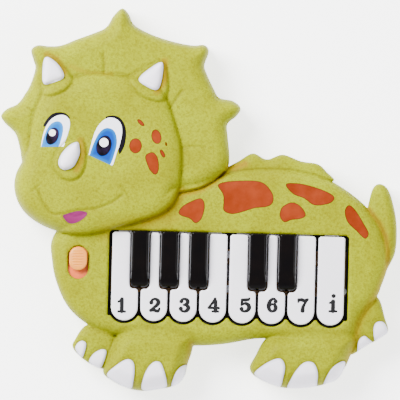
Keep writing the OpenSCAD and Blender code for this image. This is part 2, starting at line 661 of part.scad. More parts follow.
front_shell();
back_shell();
case_screws();
foot_pads();
battery_door();
door_screws();
aa_cell(1);  // aa_cell_1
aa_cell(2);  // aa_cell_2
aa_cell(3);  // aa_cell_3
battery_springs();
battery_plates();
key_frame();
frame_screws();
hinge_rod();
white_key(1);  // white_key_1
white_key(2);  // white_key_2
white_key(3);  // white_key_3
white_key(4);  // white_key_4
white_key(5);  // white_key_5
white_key(6);  // white_key_6
white_key(7);  // white_key_7
white_key(8);  // white_key_8
black_key(1);  // black_key_1
black_key(2);  // black_key_2
black_key(3);  // black_key_3
black_key(4);  // black_key_4
black_key(5);  // black_key_5
dome_strip();
contact_board();
board_screws();
front_felt();
main_board_plate();
main_board_screws();
chip_blob();
capacitor();
resistors();
transistor();
ribbon_cable();
speaker_basket();
speaker_cone();
speaker_magnet();
speaker_screws();
slider_knob();
slider_plate();
switch_can();
switch_lever();
switch_bracket();
switch_screws();
red_lead();
black_lead();
speaker_leads();
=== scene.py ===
import json
import math

import bpy
import numpy as np
from mathutils import Matrix, Vector


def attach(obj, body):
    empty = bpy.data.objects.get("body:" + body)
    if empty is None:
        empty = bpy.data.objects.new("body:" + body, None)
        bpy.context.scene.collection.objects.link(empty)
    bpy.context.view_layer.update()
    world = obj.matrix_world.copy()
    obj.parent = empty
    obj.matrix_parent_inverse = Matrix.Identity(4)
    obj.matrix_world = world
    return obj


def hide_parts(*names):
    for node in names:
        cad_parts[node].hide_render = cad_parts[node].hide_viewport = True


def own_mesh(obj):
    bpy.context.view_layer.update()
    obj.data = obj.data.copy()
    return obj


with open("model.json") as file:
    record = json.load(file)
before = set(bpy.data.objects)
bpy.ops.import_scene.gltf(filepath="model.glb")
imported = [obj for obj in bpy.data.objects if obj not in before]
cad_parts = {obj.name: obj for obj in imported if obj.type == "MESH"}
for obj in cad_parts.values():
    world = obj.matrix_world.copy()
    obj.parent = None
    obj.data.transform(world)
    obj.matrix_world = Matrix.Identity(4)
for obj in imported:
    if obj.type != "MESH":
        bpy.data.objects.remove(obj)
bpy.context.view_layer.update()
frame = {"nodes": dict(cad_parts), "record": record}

mm = 0.001
shift = np.array([0.35, 0.9])  # the outlines are drawn about the key bed and moved to the row's origin

# Outlines of the relief in millimetres, as points that a smooth closed curve passes through
outlines = {
    "body": [(-80.2, -22), (-80.6, -36), (-77.3, -49.4), (-70.8, -61.6), (-60.1, -70.6), (-47.6, -75.8),
        (-25, -80), (-1, -81), (16.3, -79.6), (37.7, -76), (60, -80), (88.3, -79), (88.6, -72),
        (92.8, -61.1), (98.6, -54.2), (102, -46), (105.2, -36), (105.5, -28), (103.6, -17.8), (99.1, -9.4),
        (93.6, -2.5), (85.8, 4.2), (76.9, 10), (68.6, 13.9), (58, 16.7), (46.9, 18.1), (31.9, 17.8),
        (20.2, 16.2), (5, 12), (-30, 6), (-65, -5)],
    "frill": [(-45, 105), (-49.5, 101.2), (-53.7, 94.4), (-60, 91.1), (-70, 87.2), (-78, 83.8), (-84.8, 83),
        (-91.5, 83.4), (-95, 80.5), (-93.6, 75), (-92.5, 70.5), (-94.8, 62.2), (-97.6, 56.7), (-101.7, 50.8),
        (-107.5, 47.8), (-110.8, 44), (-108.7, 40), (-102.8, 34.4), (-100.2, 27), (-96, 12), (-80, 0),
        (-50, -4), (-25, 0), (-9.8, 4), (0.2, 6.4), (9.1, 11.7), (15.2, 17.5), (16.3, 24.4), (15.1, 35),
        (14.7, 42.2), (19.5, 46.8), (21.8, 51.2), (17.5, 55.1), (9.9, 56.6), (6.9, 61.1), (2.2, 70.6),
        (1.2, 75), (3.4, 82.2), (0.8, 85.8), (-5.9, 85.4), (-17.6, 87.5), (-29.8, 91.4), (-38.4, 96.1),
        (-41.4, 101.7)],
    "face": [(-91, 50), (-93.8, 39.5), (-95, 28), (-98.5, 19), (-101.7, 12.2), (-102.6, 4.5), (-100.3, -3.9),
        (-94.8, -11.1), (-85.3, -16.9), (-74.6, -20.2), (-64, -21), (-53.3, -19), (-40.9, -15.5),
        (-29.8, -12), (-20.9, -8.1), (-14.8, -2.8), (-11.4, 5.6), (-10.1, 17), (-10.4, 28.9), (-13.7, 40.5),
        (-18.8, 54.5), (-25, 62), (-36, 66.5), (-48.1, 68.1), (-59.8, 68.6), (-70.9, 66), (-84, 62)],
    "frontLeg": [(-36.4, -71.4), (-43.7, -76.1), (-47.6, -84.4), (-50.9, -96.4), (-45.9, -101.4),
        (-37.6, -105.3), (-28.7, -106.8), (-19.8, -105.6), (-10.3, -103.2), (-5.6, -98), (-4, -91),
        (-1.7, -83.3), (-2, -75), (-16, -71.6)],
    "rearLeg": [(45.8, -72.8), (38.3, -77), (33.6, -85.6), (30.4, -93), (35.2, -98.3), (46.9, -102.7),
        (57, -103.3), (68, -101.8), (78.6, -98.1), (83, -91.5), (85.8, -85), (88.4, -78.5), (88.3, -72.5),
        (70, -71.4)],
    "farFront": [(-60.6, -71.1), (-67, -79.4), (-67.8, -84), (-62, -90), (-53.1, -94.7), (-46, -94),
        (-42, -84), (-48, -73)],
    "farRear": [(86.1, -84), (94.4, -79), (103.3, -73.6), (106.6, -70), (104.7, -63.3), (100.4, -51.7),
        (92, -54), (84, -66), (82, -80)],
    "tail": [(100.4, -49.5), (102.8, -41.1), (106.1, -34.4), (109.4, -26.7), (110.1, -15.6), (108.8, -4.4),
        (105, 7.6), (100.2, 11.2), (96.3, 8.3), (93.9, -1.5), (91, -15), (94, -40)],
    "ridge": [(73.6, 11.7), (70.2, 17.2), (65.2, 21.4), (56, 22.7), (45.8, 26.1), (37, 23.2), (29.4, 26.4),
        (22, 22.2), (13, 15.5), (25, 9), (50, 10)],
    "web": [(10, 12), (15, 11), (19, 14), (18.6, 17.6), (14.8, 19), (11, 16)],
    "leftSocket": [(-84.2, 78.1), (-77.6, 73.3), (-71.5, 65.5), (-75, 59), (-83.1, 55.3), (-88, 57),
        (-89.5, 66), (-88.5, 75)],
    "leftHorn": [(-86.7, 76.9), (-88.3, 70), (-87.4, 62), (-80.9, 63.3), (-76.2, 66.3), (-80, 73.2)],
    "rightSocket": [(-40, 67), (-38, 60.6), (-31.4, 55.3), (-22, 53.8), (-18.5, 60), (-18.9, 68.5),
        (-21.4, 76), (-30, 73)],
    "rightHorn": [(-22.2, 75.5), (-29.8, 71.4), (-35, 66), (-31.5, 62.4), (-24.8, 60.1), (-22.2, 66)],
    "noseSocket": [(-64.2, 31), (-63, 18), (-67.5, 9.9), (-75.5, 9.4), (-81.1, 16), (-79.5, 24), (-73, 31)],
    "noseHorn": [(-67.6, 30.1), (-66.8, 27.7), (-66.5, 24), (-68, 19.7), (-70.2, 16.2), (-74.5, 14.6),
        (-77.2, 15.9), (-78.3, 18.9), (-76.7, 23.4), (-73.3, 27.5), (-70.1, 29.7)],
    "tongue": [(-75.1, -10.8), (-73.1, -9.7), (-69.8, -8.6), (-65.9, -7.8), (-61.7, -8.6), (-62.6, -11),
        (-65.9, -13.6), (-69.8, -15), (-72.8, -14)],
}


def cubic(a, b, c, d, steps):
    # The Catmull-Rom cubic from b to c, with slopes from the neighbours a and d, at evenly spaced t.
    t = (np.arange(steps) / steps)[None, :, None]
    curve = 2 * b + (c - a) * t + (2 * a - 5 * b + 4 * c - d) * t**2 + (3 * b - a - 3 * c + d) * t**3
    return (curve / 2).reshape(-1, b.shape[-1])


def smoothLoop(points, steps=5):
    # A closed curve through the points.
    b = np.array(points, float)
    return cubic(*(v[:, None, :] for v in (np.roll(b, 1, 0), b, np.roll(b, -1, 0), np.roll(b, -2, 0))), steps)


def openCurve(points, steps=6):
    # An open curve through the points, with its ends carried on straight to give the first and last slope.
    p = np.array(points, float)
    if len(p) < 3:
        return p
    p = np.vstack([2 * p[0] - p[1], p, 2 * p[-1] - p[-2]])
    return np.vstack([cubic(p[:-3, None], p[1:-2, None], p[2:-1, None], p[3:, None], steps), p[-2]])


def ellipseLoop(centre, radii, tilt=0.0, count=40):
    # Points at even angles round an ellipse, turned by tilt degrees.
    a = np.linspace(0, 2 * np.pi, count, endpoint=False)
    turn = math.radians(tilt)
    x, y = radii[0] * np.cos(a), radii[1] * np.sin(a)
    return np.column_stack([centre[0] + x * math.cos(turn) - y * math.sin(turn),
                            centre[1] + x * math.sin(turn) + y * math.cos(turn)])


def stretchDistance(p, a, b):
    # Distance from each point to each stretch a-b: the foot is held between the stretch's ends.
    ab = b - a
    t = ((p - a) * ab).sum(-1) / np.maximum((ab * ab).sum(-1), 1e-12)
    gap = p - a - np.clip(t, 0, 1)[..., None] * ab
    return np.hypot(gap[..., 0], gap[..., 1])


def insideDistance(points, loop, reach=12.0):
    # Distance to the nearest edge, positive inside by the even-odd rule and never under -reach.
    out = np.full(len(points), -reach)
    low, high = loop.min(0) - reach, loop.max(0) + reach
    near = np.flatnonzero(((points > low) & (points < high)).all(1))
    a, b = loop[None], np.roll(loop, -1, 0)[None]
    for part in np.array_split(near, len(near) // 4000 + 1):
        p = points[part][:, None, :]
        d = stretchDistance(p, a, b).min(1)
        spans = (a[..., 1] > p[..., 1]) != (b[..., 1] > p[..., 1])
        rise = np.where(b[..., 1] == a[..., 1], 1e-12, b[..., 1] - a[..., 1])
        crossing = p[..., 0] < a[..., 0] + (p[..., 1] - a[..., 1]) / rise * (b[..., 0] - a[..., 0])
        inside = (spans & crossing).sum(1) % 2 == 1
        out[part] = np.where(inside, d, np.maximum(-d, -reach))
    return out


def lineDistance(points, line, reach=6.0):
    # Distance to the nearest stretch of an open line, never over reach.
    line = np.array(line, float)
    out = np.full(len(points), reach)
    near = np.flatnonzero(((points > line.min(0) - reach) & (points < line.max(0) + reach)).all(1))
    if len(near):
        d = stretchDistance(points[near][:, None, :], line[None, :-1], line[None, 1:]).min(1)
        out[near] = np.minimum(d, reach)
    return out


def brushDistance(points, strokes):
    # The stroke's half width at the nearest point of its middle line, less the distance to that point.
    best = np.full(len(points), -9.0)
    for stroke in strokes:
        line = openCurve(stroke)
        a, b = (line, line) if len(line) == 1 else (line[:-1], line[1:])
        ab = (b - a)[None, :, :2]
        p = points[:, None, :]
        t = ((p - a[None, :, :2]) * ab).sum(-1) / np.maximum((ab * ab).sum(-1), 1e-9)
        t = np.clip(t, 0, 1)[..., None]
        foot = a[None, :, :2] + ab * t
        width = a[None, :, 2] + (b - a)[None, :, 2] * t[..., 0]
        gap = p - foot
        best = np.maximum(best, (width - np.hypot(gap[..., 0], gap[..., 1])).max(1))
    return best


def rounded(d, width):
    # A quarter ellipse: 0 at the edge, 1 from width inwards.
    return np.sqrt(1 - (1 - np.clip(d / width, 0, 1)) ** 2)


def dip(d, width):
    # A bell that is 1 on the line and fades over about its width.
    return np.exp(-(d / width) ** 2)


# Heights in millimetres above the surface that the toy lies on
levels = {"seam": 17.0, "edge": 18.6, "body": 28.0, "low": 23.0, "back": 1.5, "floor": 3.5}

# Shapes that stand out of the body: how far, and over what width the edge rounds off
bulges = {
    "frill": (2.6, 2.6), "face": (6.0, 12.0), "leftSocket": (1.9, 3.0), "rightSocket": (1.9, 3.0),
    "noseSocket": (1.7, 3.2), "leftHorn": (3.4, 5.0), "rightHorn": (3.4, 5.0), "noseHorn": (4.9, 5.6),
}

# Claws, each with a groove round it
claws = {
    "front1": [(-37.6, -89.2), (-34.2, -90.8), (-33.4, -95), (-34, -101), (-35.5, -104.6), (-42, -102.5),
        (-48.7, -98.1), (-43.7, -92.8)],
    "front2": [(-22.6, -90.3), (-19.2, -90.6), (-17, -95), (-15.6, -100), (-15.8, -103.4), (-22, -105),
        (-29, -104.8), (-28.4, -99), (-26, -93.6)],
    "front3": [(-5.1, -91.7), (-8.4, -93.2), (-11.2, -97.2), (-12.8, -103.3), (-8.4, -102), (-5.9, -98.4),
        (-4.5, -93)],
    "farFrontA": [(-62.6, -79.7), (-60.6, -81.2), (-61.2, -85), (-63.1, -88.1), (-66.5, -84),
        (-65.2, -80.9)],
    "farFrontB": [(-52, -84.2), (-49.3, -85.2), (-50.3, -90), (-53.1, -93.9), (-58.7, -91.1),
        (-56.5, -86.8)],
    "rear1": [(44.1, -87.2), (47.8, -87.2), (49.8, -91), (49, -96.5), (46.9, -101.9), (40, -100.2),
        (33, -95.6), (37.5, -90.8)],
    "rear2": [(61.3, -88.3), (65.6, -88.9), (67.9, -93.3), (67.9, -98.5), (66.8, -101.9), (58, -103.1),
        (51.5, -102.7), (53.4, -97.3), (57.4, -91.3)],
    "rear3": [(83, -87.8), (78.6, -89), (74.4, -93.3), (71.4, -100.4), (77.5, -98.6), (82.2, -94.3)],
    "farRearA": [(101.9, -65), (104.5, -66), (106.4, -70), (104.5, -72.6), (100, -75.6), (98.4, -70.5),
        (99.2, -66.3)],
    "farRearB": [(93.1, -73.3), (95.6, -74.6), (98.3, -77.2), (94, -79.3), (90, -81.1), (90.3, -76)],
}

# Painted spots on the body and freckles on the cheek
spots = [smoothLoop(points) for points in (
    [(-11.2, -7.2), (-9, -3.8), (-4, -0.8), (0.8, 0.8), (3, -1.5), (3, -6), (1.3, -11.1), (-1.8, -13),
     (-5, -10.5), (-9.5, -9.2)],
    [(10.2, 8.3), (14.7, 10.3), (23, 11.1), (31.9, 11.1), (36.8, 9.2), (40.8, 3.9), (40.8, -0.8),
     (37.4, -3.1), (31, -3.9), (24, -6.3), (18.2, -7.5), (13.8, -5.6), (13.6, -1), (13.2, 3.2)],
    [(44.9, -7.8), (46, -3.2), (50.8, -0.3), (55.5, -1.6), (59.2, -6.2), (57.5, -8.9), (51.3, -10),
     (47.5, -11.3)],
    [(47.7, 9.4), (52, 10.5), (60.5, 9.4), (70.2, 6.3), (74.9, 3.2), (72.4, -0.3), (64, -1.5), (58, 2.2),
     (52, 4.4)],
    [(80.8, -4.2), (83.2, -1), (87, -4), (91.8, -11.5), (94.4, -16.4), (92.4, -19.4), (87.5, -15.2),
     (82.4, -10.2)],
    [(-30.1, 23.9), (-26.2, 25.6), (-23.4, 22.6), (-22.6, 16.7), (-24.2, 13.2), (-27.4, 15.4),
     (-29.6, 20)])]
spots += [ellipseLoop((-35.8, 28.9), (3.5, 4.2)), ellipseLoop((-24.4, 34.2), (2.7, 4.1), 15),
          ellipseLoop((-33.2, 41.8), (2.7, 1.1), -43), ellipseLoop((-20.8, 25), (2.6, 1.1), -60),
          ellipseLoop((-18.9, 30.3), (0.6, 1.4), 10)]

# Creases pressed into the surface: points, depth and width
creases = {
    "mouth": ([(-89.2, 3.3), (-87.6, -0.6), (-85.9, -4.4), (-83.7, -7.5), (-80.9, -9.7), (-78.7, -10),
        (-74.2, -9.2), (-66.4, -7.3), (-57.6, -6.6), (-49.8, -3.6), (-45.3, -0.8), (-42.3, 1.9)], 0.8, 0.7),
    "leftCheek": ([(-92, 2.5), (-90.6, 4.4), (-88.1, 6.4)], 0.5, 0.6),
    "rightCheek": ([(-43.7, 7.2), (-41.4, 5), (-40.1, 2.8), (-39.1, 0)], 0.5, 0.6),
    "crownRay": ([(-55.1, 79.7), (-54.4, 74), (-54.2, 68.6)], 0.8, 0.7),
    "rightRay": ([(-10.9, 60), (-14, 55.5), (-17.3, 50)], 0.8, 0.7),
    "lowRay": ([(2.4, 29.4), (-4.8, 29.6), (-10.1, 28.6)], 0.5, 0.7),
    "leftRay": ([(-96.2, 48.9), (-91.7, 45.6)], 0.5, 0.7),
    "tongueFold": ([(-70.9, -9.6), (-68.6, -10.9), (-65.9, -10.2), (-63.6, -9.4)], 0.5, 0.45),
}

# Soft swellings of the face: centre, spread and height
swellings = [((-72, 0), 17, 1.2), ((-33, 16), 15, 0.8), ((-56, 56), 14, 0.7), ((-50, 20), 9, -0.7)]

groups = {"main": ["body", "frill", "face", "frontLeg", "rearLeg"],
          "low": ["farFront", "farRear", "tail", "ridge", "web"],
          "horn": ["leftHorn", "rightHorn", "noseHorn"],
          "socket": ["leftSocket", "rightSocket", "noseSocket"]}
loops = {name: smoothLoop(points) for name, points in outlines.items()}


def pastEdge(points, reach=1.3):
    # Stretches a claw downwards, by reach times the square of the depth from 0 to 1, past the foot's edge.
    p = np.array(points, float)
    p[:, 1] -= reach * ((p[:, 1].max() - p[:, 1]) / np.ptp(p[:, 1])) ** 2
    return p


clawLoops = [smoothLoop(pastEdge(points)) for points in claws.values()]

keys = {"first": -39.95, "pitch": 16.3, "half": 7.35, "endY": -60.5, "rearY": -18.8, "top": 27.5,
        "left": -49.2, "right": 83.7, "windowTop": -17.9, "scallop": 8.9, "blackHalf": 5.0, "notch": 0.5,
        "notchEnd": -50.1, "blackFront": -49.3, "blackRear": -18.0, "blackTop": 32.0, "bend": -38.0,
        "blackAfter": (1, 2, 3, 5, 6), "corner": 2.2, "apron": 4.7, "apronCorner": 0.4, "rearCorner": 0.9}
slot = {"centre": (-66.0, -36.3), "half": 5.6, "reach": 3.5}


def boxDistance(points, low, high, corner):
    # Distance inside a box with round corners: from the core box, less the corner's radius.
    middle, half = (np.array(low) + high) / 2, (np.array(high) - low) / 2 - corner
    q = np.abs(points - middle) - half
    outside = np.hypot(np.maximum(q[:, 0], 0), np.maximum(q[:, 1], 0))
    return corner - outside - np.minimum(q.max(1), 0)


def stadiumDistance(points, centre, half, reach):
    # Distance inside a bar with round ends: its half width less the distance to its middle line.
    y = np.clip(points[:, 1] - centre[1], -reach, reach)
    return half - np.hypot(points[:, 0] - centre[0], points[:, 1] - centre[1] - y)


def whiteX(i):
    # Middle of white key i: the first key's, plus one pitch for each key after it.
    return keys["first"] + (i - 1) * keys["pitch"]


def windowDistance(points):
    # The key bed's opening: a box with its top corners rounded, joined with a round scallop at each key.
    left, right, y = keys["left"], keys["right"], keys["endY"]
    d = boxDistance(points, (left, y), (right, keys["windowTop"]), keys["corner"])
    apron = boxDistance(points, (left, y - keys["apron"]), (right, keys["bend"]), keys["apronCorner"])
    d = np.maximum(d, apron)
    for i in range(1, 9):
        d = np.maximum(d, keys["scallop"] - np.hypot(points[:, 0] - whiteX(i), points[:, 1] - y))
    return d


def slotDistance(points):
    # The power slider's slot: a bar with round ends.
    return stadiumDistance(points, slot["centre"], slot["half"], slot["reach"])


def silhouetteDistance(points):
    # The largest distance over every outline of the body: what is inside any of them is inside the toy.
    return np.max([insideDistance(points, loops[name]) for name in groups["main"] + groups["low"]], axis=0)


def measure(points):
    # Every distance that the relief and the paint need, at each point of the plan.
    d = {name: insideDistance(points, loop) for name, loop in loops.items()}
    for group, names in groups.items():
        d[group] = np.max([d[name] for name in names], axis=0)
    for name, several in (("claw", clawLoops), ("spot", spots)):
        d[name] = np.max([insideDistance(points, loop) for loop in several], axis=0)
    d["window"] = windowDistance(points)
    d["slot"] = slotDistance(points)
    return d


# Shape of the skin: widths that edges round off over, rises, and grooves as depth, place and width
form = {"bodyRound": 9, "lowRound": 5.5, "legRound": 9, "legRise": 3.0, "faceRound": 8,
        "tailRib": (0.9, 2.2), "clawRise": 1.0, "clawRound": 2.0, "clawGroove": (0.7, 0.9, 0.8),
        "tongueDip": 0.6, "tongueRound": 1.5, "faceGroove": (0.6, 0.8), "neckGroove": (1.4, 0.3, 0.9),
        "socketGroove": (0.6, 0.7), "hornGroove": (0.5, 0.6), "lipFall": 0.8, "lipRound": 1.2,
        "highest": 43.9}
tailLine = [(98, -44), (105, -30), (106.5, -14), (103.6, 2), (101, 9)]


def relief(points, d):
    # Base rounded off at the silhouette, plus each bulge, less creases and the dips round raised shapes.
    edge = levels["edge"]
    z = edge + (levels["body"] - edge) * rounded(d["main"], form["bodyRound"])
    low = edge + (levels["low"] - edge) * rounded(d["low"], form["lowRound"])
    rise, width = form["tailRib"]
    low = low + rise * dip(lineDistance(points, tailLine), width) * (d["tail"] > 0)
    z = np.where(d["main"] > 0, np.maximum(z, low), low)
    for name, (height, width) in bulges.items():
        reach = np.maximum(d["frill"], d["face"]) if name == "frill" else d[name]
        z = z + height * rounded(reach, width)
    for name in ("frontLeg", "rearLeg"):
        s = np.clip(d[name] / form["legRound"], 0, 1)
        z = z + form["legRise"] * s * s * (3 - 2 * s)
    for centre, spread, height in swellings:
        r = np.hypot(points[:, 0] - centre[0], points[:, 1] - centre[1])
        z = z + height * np.exp(-(r / spread) ** 2) * rounded(d["face"], form["faceRound"])
    depth, place, width = form["clawGroove"]
    z = z + form["clawRise"] * rounded(d["claw"], form["clawRound"])
    z = z - depth * dip(d["claw"] + place, width) * (d["claw"] > -3)
    z = z - form["tongueDip"] * rounded(d["tongue"], form["tongueRound"])
    for line, depth, width in creases.values():
        z = z - depth * dip(lineDistance(points, line), width)
    depth, width = form["faceGroove"]
    bare = np.clip(-d["socket"] / 0.6, 0, 1)  # 0 on a horn's socket
    z = z - depth * dip(d["face"], width) * (d["main"] > 4) * bare
    depth, place, width = form["neckGroove"]
    z = z - depth * dip(d["frill"] + place, width) * (d["body"] > 2) * (d["face"] < -0.5)
    for names, groove in ((groups["socket"], "socketGroove"), (["horn"], "hornGroove")):
        depth, width = form[groove]
        for name in names:
            z = z - depth * dip(d[name], width)
    for name in ("window", "slot"):
        z = z - form["lipFall"] * (1 - rounded(-d[name], form["lipRound"]))
    return np.minimum(z, form["highest"])


def planArea(points, corners):
    # Half the cross product of two sides: positive where a triangle runs anticlockwise.
    a, b, c = (points[k] for k in corners)
    return ((b[:, 0] - a[:, 0]) * (c[:, 1] - a[:, 1]) - (b[:, 1] - a[:, 1]) * (c[:, 0] - a[:, 0])) / 2


def slopeAt(inside, points, e):
    # How fast the distance grows along x and y: its change across 2e, over 2e.
    return np.column_stack([inside(points + (e, 0)) - inside(points - (e, 0)),
                            inside(points + (0, e)) - inside(points - (0, e))]) / (2 * e)


# How plate() cuts its grid, in steps: how near the edge points move, the probe, slack and least area
cut = {"near": 0.72, "probe": 0.05, "slack": 0.1, "least": 0.02}


def plate(inside, low, high, step):
    # A flat grid cut to where inside() is positive: points near the edge move onto it along the slope of
    # the distance, then each square keeps its corners that are in. Squares at the rim are cut along their
    # better diagonal, and a triangle that is folded or has no width is left out.
    x, y = (np.arange(low[k], high[k] + step, step) for k in (0, 1))
    nx, ny = len(x), len(y)
    points = np.stack(np.meshgrid(x, y), -1).reshape(-1, 2)
    d = inside(points)
    near = np.flatnonzero(np.abs(d) < cut["near"] * step)
    for turn in range(2):
        p = points[near]
        here = inside(p)
        slope = slopeAt(inside, p, cut["probe"] * step)
        size = np.maximum((slope * slope).sum(1), 0.2)
        points[near] = p - slope * np.clip(here / size, -step, step)[:, None]
    keep = d > 0
    keep[near] = True
    index = np.arange(nx * ny).reshape(ny, nx)
    quads = np.stack([index[:-1, :-1], index[:-1, 1:], index[1:, 1:], index[1:, :-1]], -1).reshape(-1, 4)
    count = keep[quads].sum(1)
    full = quads[count == 4]
    part = quads[count == 3]
    gap = np.argmin(keep[part], axis=1)
    corners = np.stack([part[np.arange(len(part)), (gap + k) % 4] for k in (1, 2, 3)], -1)
    full, corners = (f[inside(points[f].mean(1)) > -cut["slack"] * step] for f in (full, corners))
    moved = np.zeros(nx * ny, bool)
    moved[near] = True
    atRim = moved[full].any(1)
    a, b, c, d = full[atRim].T
    first, second = [(a, b, c), (a, c, d)], [(b, c, d), (b, d, a)]
    least = [np.minimum(*(planArea(points, t) for t in pair)) for pair in (first, second)]
    better = least[0] >= least[1]
    split = [np.where(better, f, s) for f, s in zip(first, second)]
    corners = np.concatenate([corners] + [pair.T for pair in split])
    corners = corners[planArea(points, corners.T) > cut["least"] * step**2]
    full = full[~atRim]
    used = np.unique(np.concatenate([full.ravel(), corners.ravel()]))
    new = np.full(nx * ny, -1)
    new[used] = np.arange(len(used))
    faces = [tuple(f) for f in new[full].tolist()] + [tuple(f) for f in new[corners].tolist()]
    return points[used], faces


def rimEdges(faces):
    # Edges that belong to one face only, in that face's order.
    edges = {}
    for f in faces:
        for a, b in zip(f, f[1:] + f[:1]):
            if (b, a) in edges:
                del edges[(b, a)]
            else:
                edges[(a, b)] = True
    return np.array(list(edges))


def wayIn(inside, points):
    # The way in from the edge: the slope of the distance over its length.
    g = slopeAt(inside, points, 0.05)
    return g / np.maximum(np.hypot(g[:, 0], g[:, 1]), 1e-9)[:, None]


def makePiece(name, verts, faces, attributes=None, crisp=None):
    # Millimetres about the key bed become metres in the row's frame. Edges turned by more than the angle
    # crisp, in degrees, stay sharp.
    mesh = bpy.data.meshes.new(name)
    place = np.array(verts, float)
    place[:, :2] += shift
    mesh.from_pydata((place * mm).tolist(), [], faces)
    for key, values in (attributes or {}).items():
        layer = mesh.attributes.new(key, "FLOAT", "POINT")
        layer.data.foreach_set("value", values.astype(np.float32))
    mesh.polygons.foreach_set("use_smooth", np.ones(len(mesh.polygons), dtype=bool))
    mesh.update()
    if crisp:
        mesh.set_sharp_from_angle(angle=math.radians(crisp))
    piece = bpy.data.objects.new(name, mesh)
    bpy.context.scene.collection.objects.link(piece)
    return piece


def thicken(piece, thickness):
    # Gives a skin an inner wall and closes its rims.
    wall = piece.modifiers.new("wall", "SOLIDIFY")
    wall.thickness, wall.offset = thickness * mm, -1.0
    wall.thickness_clamp = 0.5  # thinner beside short edges, so the inner wall doesn't fold through
    return piece


def ringOf(edges, count):
    # The points on the edges, and for each point of the mesh its place among them.
    ring = np.unique(edges)
    place = np.full(count, -1)
    place[ring] = np.arange(len(ring))
    return ring, place


def addWall(verts, faces, edges, inside, drops=(), flats=()):
    # Rows below the rim: each drop keeps the rim's own height less a fall, then come flat levels. A row
    # also steps in from the rim along the slope of the distance. Quads join the rows and face outward.
    ring, place = ringOf(edges, len(verts))
    rim = verts[ring]
    way = wayIn(inside, rim[:, :2])
    a, b = place[edges[:, 0]], place[edges[:, 1]]
    rows, above, total = [verts], ring, len(verts)
    plan = [(rim[:, 2] + fall, inset) for fall, inset in drops]
    plan += [(np.full(len(ring), float(height)), inset) for height, inset in flats]
    for heights, inset in plan:
        rows.append(np.column_stack([rim[:, :2] + way * inset, heights]))
        below = total + np.arange(len(ring))
        faces += [tuple(f) for f in np.stack([above[b], above[a], below[a], below[b]], -1).tolist()]
        above = below
        total += len(ring)
    return np.concatenate(rows), faces, above


def carried(values, rings):
    # Paint values for every point: the flat part's own, then for each wall its rim's values on each row.
    # A wall is its rim's edges and how many rows it has.
    source = [np.arange(len(values))] + [np.tile(np.unique(edges), count) for edges, count in rings]
    return values[np.concatenate(source)]


def joined(parts):
    # Several closed meshes as one list of points and faces.
    verts, faces, offset = [], [], 0
    for v, f in parts:
        verts.append(v)
        faces += [tuple(i + offset for i in face) for face in f]
        offset += len(v)
    return np.concatenate(verts), faces


def slab(inside, low, high, step, top, bottom, radius=0.0, rows=4):
    # A closed plate. Its middle is the shape less the radius, at the height top, a number or a function;
    # the edge is a quarter round of that radius, then an upright wall, then the same middle turned over.
    def core(p):
        return inside(p) - radius
    flat, faces = plate(core, low, high, step)
    order = ringOf(rimEdges(faces), len(flat))[1]
    heights = top(flat) if callable(top) else np.full(len(flat), float(top))
    angles = np.linspace(0, np.pi / 2, rows + 1)[1:] if radius else []
    steps = [(-radius * (1 - math.cos(a)), -radius * math.sin(a)) for a in angles]
    cap = [tuple(reversed(f)) for f in faces]
    verts = np.column_stack([flat, heights])
    verts, faces, last = addWall(verts, faces, rimEdges(faces), core, steps, [(bottom, -radius)])
    edges = rimEdges(cap) + len(verts)
    a, b = edges[:, 0], edges[:, 1]
    la, lb = last[order[a - len(verts)]], last[order[b - len(verts)]]
    faces += [tuple(i + len(verts) for i in f) for f in cap]
    faces += [tuple(f) for f in np.stack([b, a, la, lb], -1).tolist()]
    base = np.column_stack([flat, np.full(len(flat), float(bottom))])
    return np.concatenate([verts, base]), faces


# The front shell: one skin over the whole relief, with lips at its edge, at the key bed and at the slot,
# thickened inwards at the end
front = {"step": 0.76, "wall": 1.6, "low": (-112, -108), "high": (112, 106), "seam": 0.45, "lip": 2.2,
         "near": 0.5, "rise": 0.5, "bedRound": (-0.5, -0.02), "bedWall": 24, "skirt": 20.6, "turnIn": 1.2,
         "slotBottom": 25.9}

# Olive overspray and painted shade beside raised shapes: line, width and strength
oversprayAndShade = [
    ([(-86, 78), (-80.5, 75.5), (-76, 68.5)], 1.3, 0.55), ([(-21, 76), (-21, 66), (-24.5, 59.5)], 1.6, 0.6),
    ([(-66.5, 31), (-64.8, 25), (-66, 19.5), (-68, 15)], 1.5, 0.55),
    ([(16, 17.8), (20, 18.6), (25, 20.4)], 1.6, 0.6),
    ([(-30, -13.4), (-19, -9), (-13, -3), (-9.5, 4)], 2.2, 0.5),
    ([(-10, 2.6), (0, 5.2), (9, 10.2), (14.5, 15.6)], 1.3, 0.5),
    ([(-50, -19.6), (-30, -14), (-14, -9)], 5, 0.25), ([(-2.5, -80), (-4, -90), (-6, -97)], 1.4, 0.35),
    ([(88, -79), (85, -86), (82, -93)], 1.4, 0.35),
    ([(104, -38), (101, -48), (95, -57), (90, -66), (88.4, -78)], 1.6, 0.35),
    ([(94, -3), (99.5, -9.6), (104, -18), (105.6, -28), (104.8, -37)], 1.1, 0.55),
    ([(-72.5, 72), (-64, 68.8), (-50, 68.4)], 0.9, 0.25),
]
shadowWedge = [(-8, 3.7, 0.05), (2, 6.4, 0.15), (9, 11.0, 0.35), (14, 15.4, 0.8)]  # x, y, half width

# Strength and width of the painted shade along each foot
shade = {"press": (0.5, 0.9), "face": (0.28, 0.8), "frill": (0.45, 0.9), "low": (0.45, 0.6), "wedge": 0.95,
         "socket": (0.2, 0.8), "horn": (0.4, 0.5), "claw": (0.55, 0.5), "leg": (0.18, 1.5),
         "tongue": (0.5, 0.5)}


